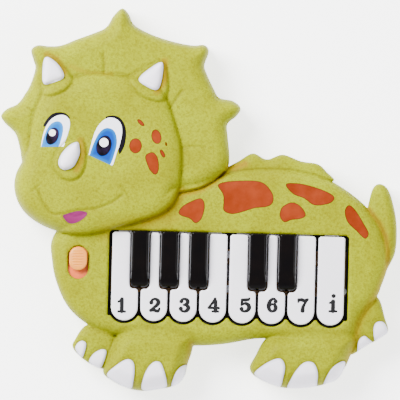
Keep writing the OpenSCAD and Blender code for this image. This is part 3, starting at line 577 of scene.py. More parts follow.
def shades(points, d):
    # Painted shade in creases: the largest of bells on the pressed lines and along the feet of the raised
    # shapes.
    # Overspray and painted shade: wide soft bells.
    def bell(name, distance, where=1.0):
        strength, width = shade[name]
        return strength * dip(distance, width) * where
    strength, width = shade["press"]
    bare = np.clip(-d["socket"] / 0.6, 0, 1)
    wedge = brushDistance(points, [shadowWedge])
    marks = [depth * strength * dip(lineDistance(points, line), across * width)
             for line, depth, across in creases.values()]
    marks += [bell("face", d["face"], (d["main"] > 1) * bare),
              bell("frill", d["frill"] + 0.3, (d["body"] > 1) * (d["face"] < 0)),
              bell("low", d["main"] + 0.2, d["low"] > 0.8),
              shade["wedge"] * np.clip((wedge + 0.5) / 0.6, 0, 1),
              bell("horn", d["horn"] + 0.25), bell("claw", d["claw"] + 0.3, d["claw"] > -3),
              bell("tongue", d["tongue"])]
    marks += [bell("socket", d[name]) for name in groups["socket"]]
    marks += [bell("leg", d[name], d["body"] > 0.5) for name in ("frontLeg", "rearLeg")]
    sprayAndShade = [strength * dip(lineDistance(points, line, 12), width) for line, width, strength in oversprayAndShade]
    return np.max(marks, axis=0), np.max(sprayAndShade, axis=0)


def frontInside(points):
    # The silhouette less the key bed and the slot: the least of the first and the others' negatives.
    return np.minimum(silhouetteDistance(points), np.minimum(-windowDistance(points), -slotDistance(points)))


def buildFront():
    flat, faces = plate(frontInside, front["low"], front["high"], front["step"])
    d = measure(flat)
    verts = np.column_stack([flat, relief(flat, d)])
    creaseShade, sprayAndShade = shades(flat, d)
    paint = {"spot": d["spot"], "ivory": np.maximum(d["horn"], d["claw"]), "tongue": d["tongue"],
             "creaseShade": creaseShade, "sprayAndShade": sprayAndShade}
    edges = rimEdges(faces)
    middle = flat[edges].mean(1)
    atWindow, atSlot = (np.abs(hole(middle)) < front["near"] for hole in (windowDistance, slotDistance))
    seam, turnIn = levels["seam"], front["turnIn"]
    walls = [(edges[~atWindow & ~atSlot], [], [(seam + front["rise"], 0), (seam, front["seam"]),
                                               (seam, front["lip"])]),
             (edges[atWindow], [front["bedRound"]], [(front["bedWall"], 0), (front["skirt"], 0),
                                                     (front["skirt"], turnIn)]),
             (edges[atSlot], [], [(front["slotBottom"], 0), (front["slotBottom"], turnIn)])]
    for rim, drops, flats in walls:
        verts, faces, last = addWall(verts, faces, rim, frontInside, drops, flats)
    rings = [(rim, len(drops) + len(flats)) for rim, drops, flats in walls]
    paint = {layer: carried(values, rings) for layer, values in paint.items()}
    piece = makePiece("caseFront", verts, faces, paint)
    print("front shell:", len(faces), "faces")
    return thicken(piece, front["wall"])


# The back shell: an upright wall, a rounded bottom edge and a flat bottom with its openings
back = {"step": 0.9, "round": 1.2, "lip": 1.0, "bay": ((-44, 38), 61.7, 48.8), "ear": (28.0, 5.0),
        "ledge": 1.6, "roof": 19.5, "screws": [(-82.5, 60), (-3, 62), (-58.5, -61), (-30, -84), (58, -84),
                                               (92, -30), (-86, 2)],
        "screwRadius": 3.1, "seat": 10.0, "speaker": (18, -42), "grille": 16.0, "pitch": 4.4, "slot": 2.0,
        "near": 0.6, "turnIn": 0.9}


def bayDistance(points):
    # The door's recess: a box with a round ear at the middle of each long side.
    (x, y), length, width = back["bay"]
    earY, earRadius = back["ear"]
    d = boxDistance(points, (x - length / 2, y - width / 2), (x + length / 2, y + width / 2), 1.5)
    for side in (-1, 1):
        d = np.maximum(d, earRadius - np.hypot(points[:, 0] - x, points[:, 1] - y - side * earY))
    return d


def screwDistance(points):
    # A round hole at each screw: its radius less the distance to the nearest middle.
    gaps = [np.hypot(points[:, 0] - x, points[:, 1] - y) for x, y in back["screws"]]
    return back["screwRadius"] - np.min(gaps, axis=0)


def grilleDistance(points):
    # Seven bars with round ends, cut to a circle.
    x, y = back["speaker"]
    d = np.full(len(points), -9.0)
    for i in range(-3, 4):
        rise = back["pitch"] * i
        reach = math.sqrt(back["grille"] ** 2 - rise**2)
        across = np.clip(points[:, 0] - x, -reach, reach)
        gap = np.hypot(points[:, 0] - x - across, points[:, 1] - y - rise)
        d = np.maximum(d, back["slot"] / 2 - gap)
    return d


def backInside(points):
    # The silhouette less its rounded edge and less every opening.
    d = silhouetteDistance(points) - back["round"]
    for hole in (bayDistance, screwDistance, grilleDistance):
        d = np.minimum(d, -hole(points))
    return d


def fan(verts, faces, edges, last, centre, height):
    # Closes a ring with triangles to its middle.
    place = ringOf(edges, len(verts))[1]
    tip = len(verts)
    a, b = last[place[edges[:, 0]]], last[place[edges[:, 1]]]
    faces += [(int(j), int(i), tip) for i, j in zip(a, b)]
    return np.vstack([verts, [centre[0], centre[1], height]]), faces


def buildBack():
    # Worked out upside down, with heights negative, then turned over.
    flat, faces = plate(backInside, front["low"], front["high"], back["step"])
    verts = np.column_stack([flat, np.full(len(flat), -levels["back"])])
    edges = rimEdges(faces)
    middle = flat[edges].mean(1)
    holes = {"bay": bayDistance, "screw": screwDistance, "grille": grilleDistance}
    at = {name: np.abs(hole(middle)) < back["near"] for name, hole in holes.items()}
    outer = ~(at["bay"] | at["screw"] | at["grille"])
    r, seam = back["round"], levels["seam"]
    angles = np.linspace(0, np.pi / 2, 5)[1:]
    edge = [(-r * (1 - math.cos(t)), -r * math.sin(t)) for t in angles]
    verts, faces, last = addWall(verts, faces, edges[outer], backInside, edge, [
        (front["rise"] - seam, -r), (-seam, front["seam"] - r), (-seam, back["lip"])])
    ledge = back["ledge"]
    verts, faces, last = addWall(verts, faces, edges[at["bay"]], backInside, flats=[
        (-levels["floor"], 0), (-levels["floor"], -ledge), (-back["roof"], -ledge)])
    verts, faces = fan(verts, faces, edges[at["bay"]], last, back["bay"][0], -back["roof"])
    for centre in back["screws"]:
        here = at["screw"] & (np.hypot(*(middle - centre).T) < back["screwRadius"] + 1)
        verts, faces, last = addWall(verts, faces, edges[here], backInside, flats=[(-back["seat"], 0)])
        verts, faces = fan(verts, faces, edges[here], last, centre, -back["seat"])
    verts, faces, last = addWall(verts, faces, edges[at["grille"]], backInside, flats=[
        (-levels["floor"], 0), (-levels["floor"], back["turnIn"])])
    verts[:, 2] *= -1
    print("back shell:", len(faces), "faces")
    return thicken(makePiece("caseBack", verts, [tuple(reversed(f)) for f in faces]), front["wall"])


# Keys
whiteKey = {"step": 0.7, "edge": 0.8, "thick": 2.8, "corner": 1.6, "wall": 1.3, "skirt": 21.5,
            "skirtStep": 0.45, "sink": 0.4, "arm": (4, 2.1, 6)}
blackKey = {"step": 0.4, "facet": 3.8, "flank": 1.45, "corner": 2.4, "slope": 0.28, "noseFall": 2.4,
            "noseSlope": 0.9, "noseY": 8.6, "rimFall": 0.7, "rimRound": 0.9, "low": 24.0, "sink": 0.5,
            "arm": (2.5, 2.5, 4)}
hinge = {"y": -12.5, "z": 22.2, "outer": 2.8, "bore": 1.54, "white": 8.0, "black": 5.0}
plunger = {"y": -40.0, "radius": 1.9, "low": 22.7}
lug = {"lap": 1.2, "clear": 2.2, "rise": 1, "neckLap": 1}


def softMin(a, b, k=0.15):
    # The lesser value, blended over about k: minus k times the logarithm of the summed exponentials.
    return -k * np.logaddexp(-a / k, -b / k)


def jointX(j):
    # Where white key j meets the next: half a pitch past its middle.
    return keys["first"] + (j - 0.5) * keys["pitch"]


def roundedCut(d, hole, r):
    # The shape less a hole, with a round of radius r where their edges meet.
    u, v = np.maximum(r - d, 0), np.maximum(r + hole, 0)
    both = np.minimum(d, -hole)
    return np.where(both > r, both, r - np.hypot(u, v))


def whiteInside(i):
    # A bar with a round front end, notched for the black keys beside it.
    x = whiteX(i)

    def inside(points):
        half, y = keys["half"], keys["endY"]
        d = boxDistance(points, (x - half, y - 2), (x + half, keys["rearY"]), keys["rearCorner"])
        d = np.maximum(np.minimum(d, points[:, 1] - y), half - np.hypot(points[:, 0] - x, points[:, 1] - y))
        reach = keys["blackHalf"] + keys["notch"]
        for j in (i - 1, i):
            if j in keys["blackAfter"]:
                low, high = (jointX(j) - reach, keys["notchEnd"]), (jointX(j) + reach, 0)
                hole = boxDistance(points, low, high, keys["corner"])
                d = roundedCut(d, hole, whiteKey["corner"])
        return d
    return inside


def block(low, high):
    # A box from its lowest to its highest corner.
    x, y, z = zip(low, high)
    verts = np.array([(a, b, c) for c in z for b in y for a in x], float)
    faces = [(0, 2, 3, 1), (4, 5, 7, 6), (0, 1, 5, 4), (2, 6, 7, 3), (0, 4, 6, 2), (1, 3, 7, 5)]
    return verts, faces


def turned(centre, profile, count=24):
    # An upright turned solid: each (radius, height) of the profile is a circle, and both ends are flat.
    a = np.linspace(0, 2 * np.pi, count, endpoint=False)
    r, z = (np.array(profile, float)[:, k, None] for k in (0, 1))
    verts = np.stack([centre[0] + r * np.cos(a), centre[1] + r * np.sin(a), z + 0 * a], -1).reshape(-1, 3)
    i = np.arange(count)
    j = (i + 1) % count
    faces = []
    for k in range(0, len(verts) - count, count):
        faces += [tuple(f) for f in np.stack([i + k, j + k, j + k + count, i + k + count], -1).tolist()]
    top = len(verts) - count
    return verts, faces + [tuple(range(count - 1, -1, -1)), tuple(range(top, top + count))]


def post(centre, radius, low, high):
    # An upright round pin.
    return turned(centre, [(radius, low), (radius, high)])


def knuckle(x, length, count=40):
    # A ring round the hinge rod: outer and inner circles at both ends, joined by four bands.
    a = np.linspace(0, 2 * np.pi, count, endpoint=False)
    rings = []
    for end, radius in ((-1, hinge["outer"]), (1, hinge["outer"]), (1, hinge["bore"]), (-1, hinge["bore"])):
        rings.append(np.column_stack([np.full(count, x + end * length / 2), hinge["y"] + radius * np.cos(a),
                                      hinge["z"] + radius * np.sin(a)]))
    i = np.arange(count)
    j = (i + 1) % count
    faces = []
    for k in range(4):
        m = (k + 1) % 4
        quads = np.stack([j + k * count, i + k * count, i + m * count, j + m * count], -1)
        faces += [tuple(f) for f in quads[:, ::-1].tolist()]
    return np.vstack(rings), faces


def arm(x, half, neck, reach, length, top):
    # What joins a key to the dome and the rod: plunger, knuckle, a lug to the knuckle and the lug's neck.
    y, z = hinge["y"], hinge["z"]
    rear, clear, rise = keys["rearY"], lug["clear"], lug["rise"]
    return [post((x, plunger["y"]), plunger["radius"], plunger["low"], top), knuckle(x, length),
            block((x - half, rear - lug["lap"], z - clear), (x + half, y - clear, z + rise)),
            block((x - neck, rear - reach, z - rise), (x + neck, rear - lug["neckLap"], top))]


def buildWhite(i):
    inside, x = whiteInside(i), whiteX(i)
    reach = keys["half"] + 1
    low, high = (x - reach, keys["endY"] - reach), (x + reach, keys["rearY"] + 1)
    top, wall = keys["top"], whiteKey["wall"]
    under = top - whiteKey["thick"]

    def skirt(points):
        d = inside(points)
        return np.minimum(np.minimum(d, wall - d), keys["notchEnd"] - 3 - points[:, 1])
    parts = [slab(inside, low, high, whiteKey["step"], top, under, whiteKey["edge"]),
             slab(skirt, low, high, whiteKey["skirtStep"], under + whiteKey["sink"], whiteKey["skirt"])]
    parts += arm(x, *whiteKey["arm"], hinge["white"], under + whiteKey["sink"])
    return makePiece(f"whiteKey{i}", *joined(parts), crisp=40)


def buildBlack(n):
    x = jointX(keys["blackAfter"][n - 1])
    low = (x - keys["blackHalf"], keys["blackFront"])
    high = (x + keys["blackHalf"], keys["blackRear"])

    def inside(points):
        d = boxDistance(points, low, (high[0], high[1] + 4), blackKey["corner"])
        return np.minimum(d, high[1] - points[:, 1])

    def top(points):
        # The lowest of the flat top, the sloping flanks and the front slope, blended at their edges.
        across, y = np.abs(points[:, 0] - x), points[:, 1]
        z = np.full(len(points), keys["blackTop"])
        z = softMin(z, keys["blackTop"] - blackKey["flank"] * (across - blackKey["facet"]))
        z = softMin(z, keys["blackTop"] - blackKey["slope"] * (keys["bend"] - y))
        nose = keys["bend"] - blackKey["noseY"] - y
        z = softMin(z, keys["blackTop"] - blackKey["noseFall"] - blackKey["noseSlope"] * nose)
        rim = 1 - rounded(inside(points), blackKey["rimRound"])
        return np.minimum(z - blackKey["rimFall"] * rim, keys["blackTop"])
    under = blackKey["low"]
    parts = [slab(inside, (low[0] - 1, low[1] - 1), (high[0] + 1, high[1] + 1), blackKey["step"], top, under)]
    parts += arm(x, *blackKey["arm"], hinge["black"], under + blackKey["sink"])
    return makePiece(f"blackKey{n}", *joined(parts), crisp=40)


# Rubber strip with a dome under each key, shaped at rest: in the toy a dome flattens as its key goes down
dome = {"strip": (18.6, 19.2), "margin": 2.0, "halfWidth": 4.5, "keep": 0.6,
        "profile": [(3.4, 18.9), (3.4, 19.2), (2.9, 20.6), (2.55, 22.1), (2.3, 22.5), (1.9, 22.6)]}


def buildStrip():
    low, high = dome["strip"]
    y = plunger["y"]
    left, right = keys["left"] + dome["margin"], keys["right"] - dome["margin"]
    half = dome["halfWidth"]
    return makePiece("domeStrip", *block((left, y - half, low), (right, y + half, high)))


def buildDome(name, x):
    return makePiece(name, *turned((x, plunger["y"]), dome["profile"], 32), crisp=40)


# Printed digits, as brush strokes of x, y and half width about the middle of the digit's foot
digits = {
    "1": [[(0, 7.1, 0.75), (0, 0.4, 0.75)], [(-1.9, 5.7, 0.25), (-0.9, 6.2, 0.4), (0, 7.2, 0.35)],
        [(-1.8, 0.3, 0.3), (1.8, 0.3, 0.3)]],
    "2": [[(-1.9, 5.2, 0.85)], [(-2.1, 5.4, 0.4), (-1.3, 6.7, 0.4), (0.2, 7.2, 0.4), (1.6, 6.5, 0.7),
        (2.0, 5.2, 0.85), (1.2, 3.8, 0.7), (-0.6, 2.3, 0.45), (-2.3, 0.7, 0.4)], [(-2.2, 0.8, 0.55),
        (-0.6, 1.1, 0.6), (1.0, 0.6, 0.6), (2.0, 0.6, 0.5), (2.6, 1.9, 0.3)]],
    "3": [[(-1.8, 5.8, 0.8)], [(-2.0, 5.9, 0.4), (-1.2, 6.9, 0.4), (0.1, 7.2, 0.4), (1.4, 6.6, 0.65),
        (1.7, 5.5, 0.75), (1.2, 4.5, 0.6), (0.0, 3.9, 0.35)], [(-0.4, 3.9, 0.3), (0.8, 3.8, 0.45),
        (1.9, 3.0, 0.75), (2.1, 2.0, 0.85), (1.3, 0.8, 0.65), (-0.2, 0.3, 0.4), (-1.6, 0.7, 0.4),
        (-2.2, 1.5, 0.4)], [(-2.0, 1.8, 0.85)]],
    "4": [[(0.7, 7.3, 0.45), (-0.7, 5.0, 0.4), (-2.7, 2.4, 0.35)], [(-2.8, 2.2, 0.38), (2.8, 2.2, 0.38)],
        [(1.0, 6.0, 0.6), (1.0, 0.5, 0.75)], [(-0.6, 0.3, 0.3), (2.5, 0.3, 0.3)]],
    "5": [[(-1.7, 6.6, 0.5), (0.2, 6.7, 0.6), (1.6, 6.9, 0.5), (2.2, 7.5, 0.25)], [(-1.8, 6.8, 0.33),
        (-2.0, 3.9, 0.33)], [(-2.0, 3.9, 0.35), (-0.8, 4.6, 0.4), (0.6, 4.6, 0.6), (1.9, 3.6, 0.8),
        (2.1, 2.2, 0.85), (1.3, 0.9, 0.65), (-0.2, 0.3, 0.4), (-1.6, 0.6, 0.4), (-2.2, 1.3, 0.4)],
        [(-2.0, 1.6, 0.85)]],
    "6": [[(1.8, 5.8, 0.8)], [(2.0, 6.3, 0.3), (1.2, 7.1, 0.35), (0.2, 7.2, 0.4), (-1.1, 6.2, 0.65),
        (-1.9, 4.4, 0.8), (-2.0, 2.6, 0.8), (-1.3, 0.9, 0.6), (0, 0.3, 0.4), (1.4, 1.0, 0.65),
        (1.9, 2.3, 0.8), (1.4, 3.7, 0.6), (0.3, 4.3, 0.35), (-0.9, 3.9, 0.35), (-1.6, 3.1, 0.4)]],
    "7": [[(-2.5, 6.9, 0.3), (-2.5, 5.5, 0.25)], [(-2.4, 6.4, 0.5), (-0.8, 6.7, 0.65), (0.8, 6.2, 0.6),
        (2.5, 6.9, 0.45)], [(2.4, 6.8, 0.35), (1.0, 4.6, 0.4), (0.1, 2.6, 0.65), (-0.1, 0.6, 0.85)]],
    "i": [[(0, 5.8, 0.8), (0, 0.4, 0.8)], [(-1.8, 4.9, 0.25), (-0.9, 5.3, 0.38), (0, 6.0, 0.35)],
        [(-1.9, 0.3, 0.3), (1.9, 0.3, 0.3)], [(0.2, 8.8, 0.85)]],
}
printing = {"step": 0.16, "low": 27.42, "top": 27.55, "baseline": -63.2, "rise": 0.025, "from": -41.0,
            "bold": 0.36, "box": ((-4, -1), (4, 10)),
            "centres": [-41.3, -23.1, -6.6, 9.6, 27.0, 42.0, 58.9, 75.6]}


def buildDigit(i):
    strokes = digits["1234567i"[i - 1]]
    x = printing["centres"][i - 1]
    y = printing["baseline"] + printing["rise"] * (x - printing["from"])

    def inside(points):
        return brushDistance(points - (x, y), strokes) + printing["bold"]
    low, high = ((x + across, y + up) for across, up in printing["box"])
    top, bottom = printing["top"], printing["low"]
    return makePiece(f"digit{i}", *slab(inside, low, high, printing["step"], top, bottom))


# Printed eyes: outlines of the white, the iris, the pupil and the glint, and the dark lid
eyes = {
    "left": {"white": [(-88.2, 25.2), (-88.1, 27.2), (-87.6, 31.2), (-86.5, 35.9), (-84.8, 39.8),
        (-82.2, 43), (-78.7, 44.8), (-75.2, 44.7), (-72.8, 42.6), (-72.3, 39.6), (-73, 35.6), (-74.3, 31.5),
        (-75.9, 27), (-81.2, 24.3)], "iris": [(-88.5, 25.1), (-87.8, 27.4), (-86.9, 31.7), (-85, 36.8),
        (-82.4, 40.2), (-79.2, 41.5), (-76.8, 40.2), (-76, 37), (-76.8, 32.1), (-78.3, 27.4), (-81.2, 24.3)],
        "lid": [(-86.9, 38.3), (-86.2, 40.8), (-82.8, 45), (-78.8, 46.4), (-75, 45.9), (-72.5, 43.2),
        (-77, 42.5), (-83.5, 39.5)], "cut": ((-88.3, 27), (-75.9, 27.4)), "pupil": ((-81.9, 33.1),
        (3.3, 4.9), -22), "glint": ((-82, 35), (1.9, 1.9), 0)},
    "right": {"white": [(-62.1, 21.3), (-61.5, 23.6), (-60.3, 29.6), (-58.3, 36.5), (-55.3, 41.3),
        (-51.3, 44.0), (-47.1, 43.6), (-44.3, 41), (-43.4, 36.6), (-44.3, 30.5), (-46.3, 23.9),
        (-48.4, 17.4), (-52.9, 14.5)], "iris": [(-61.9, 21.3), (-61, 23.6), (-58.8, 30.2), (-55.9, 35.8),
        (-52.5, 38.3), (-49, 37.8), (-46.9, 35.2), (-46.1, 30.7), (-47, 25.5), (-49.6, 18.1), (-53.9, 15.5)],
        "lid": [(-52.8, 44.2), (-47.6, 45.3), (-43.5, 42.8), (-41.4, 37.8), (-41.4, 31.8), (-42.6, 27.3),
        (-44.8, 24.3), (-46, 32), (-47.5, 40)], "cut": ((-61.6, 23.2), (-48.8, 17.7)), "pupil":
        ((-53.3, 28.5), (4.1, 5.8), -16), "glint": ((-53.3, 30.3), (2.5, 2.5), 0)},
}
decal = {"step": 0.24, "sheet": 0.15, "lift": 0.09, "sink": 0.2}


def buildEye(name):
    eye = eyes[name]
    white, iris, lid = (smoothLoop(eye[part]) for part in ("white", "iris", "lid"))
    a, b = np.array(eye["cut"])
    up = np.array([a[1] - b[1], b[0] - a[0]]) / np.hypot(*(b - a))

    def above(points):
        return (points - a) @ up

    def whiteAt(points):
        return np.minimum(insideDistance(points, white), above(points))

    def inside(points):
        return np.maximum(whiteAt(points), insideDistance(points, lid))
    low, high = white.min(0) - 3, white.max(0) + 3
    flat, faces = plate(inside, low, high, decal["step"])
    verts = np.column_stack([flat, relief(flat, measure(flat)) + decal["lift"]])
    paint = {"white": whiteAt(flat), "iris": np.minimum(insideDistance(flat, iris), above(flat)),
             "pupil": insideDistance(flat, ellipseLoop(*eye["pupil"])),
             "glint": insideDistance(flat, ellipseLoop(*eye["glint"]))}
    rim = rimEdges(faces)
    verts, faces, last = addWall(verts, faces, rim, inside, [(-decal["sink"], 0)])
    paint = {layer: carried(values, [(rim, 1)]) for layer, values in paint.items()}
    return thicken(makePiece(name + "Eye", verts, faces, paint), decal["sheet"])


# Power slider
knob = {"centre": (-66.0, -34.1), "half": 5.0, "reach": 1.6, "top": 30.5, "low": 25.8, "edge": 1.0,
        "crown": 0.5, "crownWidth": 5, "rib": 0.18, "ribFrom": 1.4, "ribFade": 1.2, "pitch": 1.5,
        "step": 0.25, "box": (6, 8)}


def buildKnob():
    cx, cy = knob["centre"]

    def inside(points):
        return stadiumDistance(points, knob["centre"], knob["half"], knob["reach"])

    def top(points):
        # A low crown with fine ribs across its middle, fading towards the edge.
        d = inside(points)
        fade = np.clip((d - knob["ribFrom"]) / knob["ribFade"], 0, 1)
        ribs = np.cos(2 * np.pi * (points[:, 1] - cy) / knob["pitch"]) * fade
        return knob["top"] - knob["crown"] * (1 - rounded(d, knob["crownWidth"])) + knob["rib"] * ribs
    w, h = knob["box"]
    low, high = (cx - w, cy - h), (cx + w, cy + h)
    return makePiece("powerKnob", *slab(inside, low, high, knob["step"], top, knob["low"], knob["edge"]))


# Finishes
def ink(r, g, b):
    # A printed colour, 0 to 255, as the linear value that a shader takes.
    c = np.array([r, g, b]) / 255
    c = np.where(c > 0.04045, ((c + 0.055) / 1.055) ** 2.4, c / 12.92)
    return (float(c[0]), float(c[1]), float(c[2]), 1.0)


def addNode(tree, kind, inputs=None, **settings):
    made = tree.nodes.new(kind)
    for key, value in settings.items():
        setattr(made, key, value)
    for key, value in (inputs or {}).items():
        if isinstance(value, bpy.types.NodeSocket):
            tree.links.new(value, made.inputs[key])
        else:
            made.inputs[key].default_value = value
    return made


def newFinish(name, roughness, metallic=0.0, specular=0.5, coat=0.0):
    material = bpy.data.materials.new(name)
    material.use_nodes = True
    tree = material.node_tree
    surface = tree.nodes["Principled BSDF"]
    for key, value in (("Roughness", roughness), ("Metallic", metallic), ("Specular IOR Level", specular),
                       ("Coat Weight", coat)):
        surface.inputs[key].default_value = value
    coords = addNode(tree, "ShaderNodeTexCoord").outputs["Object"]
    return material, tree, surface, coords


def noise(tree, coords, scale, detail=3.0, roughness=0.55):
    made = addNode(tree, "ShaderNodeTexNoise", {"Vector": coords, "Scale": scale, "Detail": detail,
                                                 "Roughness": roughness})
    return made.outputs["Fac"]


def spread(tree, value, low, high, newLow=0.0, newHigh=1.0):
    # A straight ramp, held at its ends.
    made = addNode(tree, "ShaderNodeMapRange", {"Value": value, "From Min": low, "From Max": high,
                                                 "To Min": newLow, "To Max": newHigh})
    return made.outputs["Result"]


def blend(tree, factor, a, b):
    # The colour a where the factor is 0, b where it is 1.
    made = addNode(tree, "ShaderNodeMix", {0: factor, 6: a, 7: b}, data_type="RGBA")
    return made.outputs[2]


def times(tree, a, b, operation="MULTIPLY"):
    return addNode(tree, "ShaderNodeMath", {0: a, 1: b}, operation=operation).outputs[0]


def attribute(tree, name):
    return addNode(tree, "ShaderNodeAttribute", attribute_name=name).outputs["Fac"]


def addBump(tree, surface, height, strength, distance):
    bump = addNode(tree, "ShaderNodeBump", {"Height": height, "Strength": strength, "Distance": distance})
    tree.links.new(bump.outputs["Normal"], surface.inputs["Normal"])


limePaint = {"light": ink(143, 152, 0), "deep": ink(130, 134, 0), "grain": ink(100, 94, 0),
             "sprayAndShade": ink(134, 92, 0), "creaseShade": ink(58, 40, 0), "spot": ink(112, 38, 6),
             "spotLight": ink(130, 50, 22), "spotRim": ink(52, 22, 4), "ivory": ink(236, 232, 242),
             "ivoryShade": ink(200, 200, 212), "tongue": ink(116, 36, 84), "tongueShade": ink(74, 12, 50),
             "edge": 0.07, "blotches": 35, "grit": 1500, "speckles": 800, "spotMottle": 120}


def limeFinish(name, painted):
    # Moulded lime plastic: soft blotches, a fine grain, and on the front shell paint held by distances, with
    # painted shade in creases and beside raised shapes.
    material, tree, surface, coords = newFinish(name, 0.6, specular=0.04)
    blotch = spread(tree, noise(tree, coords, limePaint["blotches"], 4), 0.35, 0.65)
    color = blend(tree, blotch, limePaint["deep"], limePaint["light"])
    grain = noise(tree, coords, limePaint["grit"], 2)
    speckle = noise(tree, coords, limePaint["speckles"], 3, 0.8)
    speckle = spread(tree, speckle, 0.42, 0.72, 0.0, 0.85)
    color = blend(tree, speckle, color, limePaint["grain"])
    if painted:
        e = limePaint["edge"]
        # Olive overspray and painted shade beside the raised shapes
        color = blend(tree, attribute(tree, "sprayAndShade"), color, limePaint["sprayAndShade"])
        # Painted shade in the creases and at the feet of the raised shapes
        color = blend(tree, attribute(tree, "creaseShade"), color, limePaint["creaseShade"])
        tongue = attribute(tree, "tongue")
        # The tongue is painted darker where the crease shade falls
        pink = blend(tree, attribute(tree, "creaseShade"), limePaint["tongue"], limePaint["tongueShade"])
        color = blend(tree, spread(tree, tongue, -e, e), color, pink)
        spot = attribute(tree, "spot")
        # The spot colour turns lighter in random patches
        spotMottle = spread(tree, noise(tree, coords, limePaint["spotMottle"], 4), 0.35, 0.7)
        body = blend(tree, spotMottle, limePaint["spot"], limePaint["spotLight"])
        rim = spread(tree, spot, 0.1, 0.55, 0.8, 0.0)
        color = blend(tree, spread(tree, spot, -e, e), color, blend(tree, rim, body, limePaint["spotRim"]))
        ivory = attribute(tree, "ivory")
        milk = blend(tree, spread(tree, ivory, 0.1, 1.6), limePaint["ivoryShade"], limePaint["ivory"])
        color = blend(tree, spread(tree, ivory, -e, e), color, milk)
    tree.links.new(color, surface.inputs["Base Color"])
    tree.links.new(spread(tree, blotch, 0, 1, 0.46, 0.56), surface.inputs["Roughness"])
    addBump(tree, surface, grain, 0.35, 0.00012)
    return material


eyeInk = {"edge": 0.05, "black": ink(14, 12, 18), "white": ink(240, 240, 248), "pupil": ink(8, 6, 12),
          "pupilGlow": ink(38, 24, 52), "glint": ink(248, 246, 250)}


def eyeFinish(name, iris, irisRim):
    # Gloss printing: black, then the white, the iris with a lighter rim, the pupil and the glint.
    material, tree, surface, coords = newFinish(name, 0.4, specular=0.05)
    e = eyeInk["edge"]
    color = blend(tree, spread(tree, attribute(tree, "white"), -e, e), eyeInk["black"], eyeInk["white"])
    depth = attribute(tree, "iris")
    blue = blend(tree, spread(tree, depth, 0.2, 2.2), irisRim, iris)
    color = blend(tree, spread(tree, depth, -e, e), color, blue)
    pupil = attribute(tree, "pupil")
    cloud = spread(tree, noise(tree, coords, 160, 3), 0.4, 0.7)
    dark = blend(tree, cloud, eyeInk["pupil"], eyeInk["pupilGlow"])
    color = blend(tree, spread(tree, pupil, -e, e), color, dark)
    color = blend(tree, spread(tree, attribute(tree, "glint"), -e, e), color, eyeInk["glint"])
    tree.links.new(color, surface.inputs["Base Color"])
    addBump(tree, surface, noise(tree, coords, 1800, 2), 0.12, 0.00005)
    return material


# Finishes of the other pieces: two colours, roughness, metal, grain per metre, bump, coat and specular
finishes = {
    "white_key": ((240, 237, 244), (230, 228, 238), 0.3, 0, 90, 0.08, 0.2, 0.5),
    "black_key": ((5, 4, 5), (12, 7, 6), 0.12, 0, 140, 0.05, 0.0, 0.12),
    "digit": ((8, 8, 10), (18, 18, 22), 0.5, 0, 900, 0.1, 0.0, 0.2),
    "knob_peach": ((220, 136, 26), (214, 122, 46), 0.42, 0, 420, 0.3, 0.0, 0.5),
    # slider_salmon: the knob's own plastic, painted deeper for the shade it sits in below the knob
    "slider_salmon": ((208, 88, 24), (214, 100, 40), 0.45, 0, 300, 0.3, 0.0, 0.5),
    "frame_plastic": ((34, 30, 28), (24, 20, 18), 0.55, 0, 220, 0.3, 0.0, 0.5),
    "steel": ((186, 188, 192), (150, 150, 156), 0.3, 1, 700, 0.25, 0.0, 0.5),
    "rod_steel": ((190, 192, 198), (160, 162, 170), 0.22, 1, 500, 0.15, 0.0, 0.5),
    "rubber_foot": ((44, 44, 44), (60, 58, 56), 0.85, 0, 800, 0.5, 0.0, 0.5),
    "dome_rubber": ((158, 158, 164), (140, 140, 148), 0.7, 0, 600, 0.35, 0.0, 0.5),
    "board": ((140, 98, 48), (112, 78, 38), 0.5, 0, 260, 0.3, 0.0, 0.5),
    "epoxy": ((10, 10, 12), (24, 24, 26), 0.25, 0, 200, 0.2, 0.3, 0.5),
    "component_dark": ((26, 30, 44), (14, 16, 22), 0.4, 0, 400, 0.2, 0.0, 0.5),
    "component_tan": ((196, 168, 116), (170, 140, 92), 0.45, 0, 500, 0.3, 0.0, 0.5),
    "felt": ((40, 30, 24), (28, 20, 16), 0.95, 0, 1600, 0.9, 0.0, 0.5),
    "cell_gold": ((204, 150, 60), (176, 120, 40), 0.3, 1, 120, 0.15, 0.1, 0.5),
    "cell_dark": ((30, 30, 34), (18, 18, 20), 0.3, 0, 120, 0.15, 0.3, 0.5),
    "nickel": ((206, 204, 200), (170, 168, 164), 0.28, 1, 600, 0.2, 0.0, 0.5),
    "speaker_paper": ((30, 30, 30), (46, 44, 42), 0.9, 0, 900, 0.8, 0.0, 0.5),
    "ferrite": ((46, 46, 50), (34, 34, 38), 0.6, 0, 700, 0.5, 0.0, 0.5),
    "lead_red": ((186, 20, 20), (150, 14, 16), 0.4, 0, 500, 0.2, 0.0, 0.5),
    "lead_black": ((18, 18, 18), (32, 32, 32), 0.4, 0, 500, 0.2, 0.0, 0.5),
    "lead_yellow": ((214, 188, 60), (186, 156, 40), 0.4, 0, 500, 0.2, 0.0, 0.5),
    "ribbon_grey": ((168, 168, 172), (140, 140, 146), 0.5, 0, 500, 0.2, 0.0, 0.5),
}


def plainFinish(name):
    # Two close colours mixed by blotches and a fine grain, which also gives the bump.
    first, second, roughness, metallic, scale, bump, coat, specular = finishes[name]
    material, tree, surface, coords = newFinish(name, roughness, metallic, specular, coat)
    blotch = spread(tree, noise(tree, coords, scale, 4), 0.35, 0.68)
    fine = noise(tree, coords, scale * 6, 2)
    color = blend(tree, times(tree, blotch, fine), ink(*first), ink(*second))
    tree.links.new(color, surface.inputs["Base Color"])
    low, high = roughness * 0.88, min(1.0, roughness * 1.15)
    tree.links.new(spread(tree, blotch, 0, 1, low, high), surface.inputs["Roughness"])
    addBump(tree, surface, fine, bump, 0.0001)
    return material


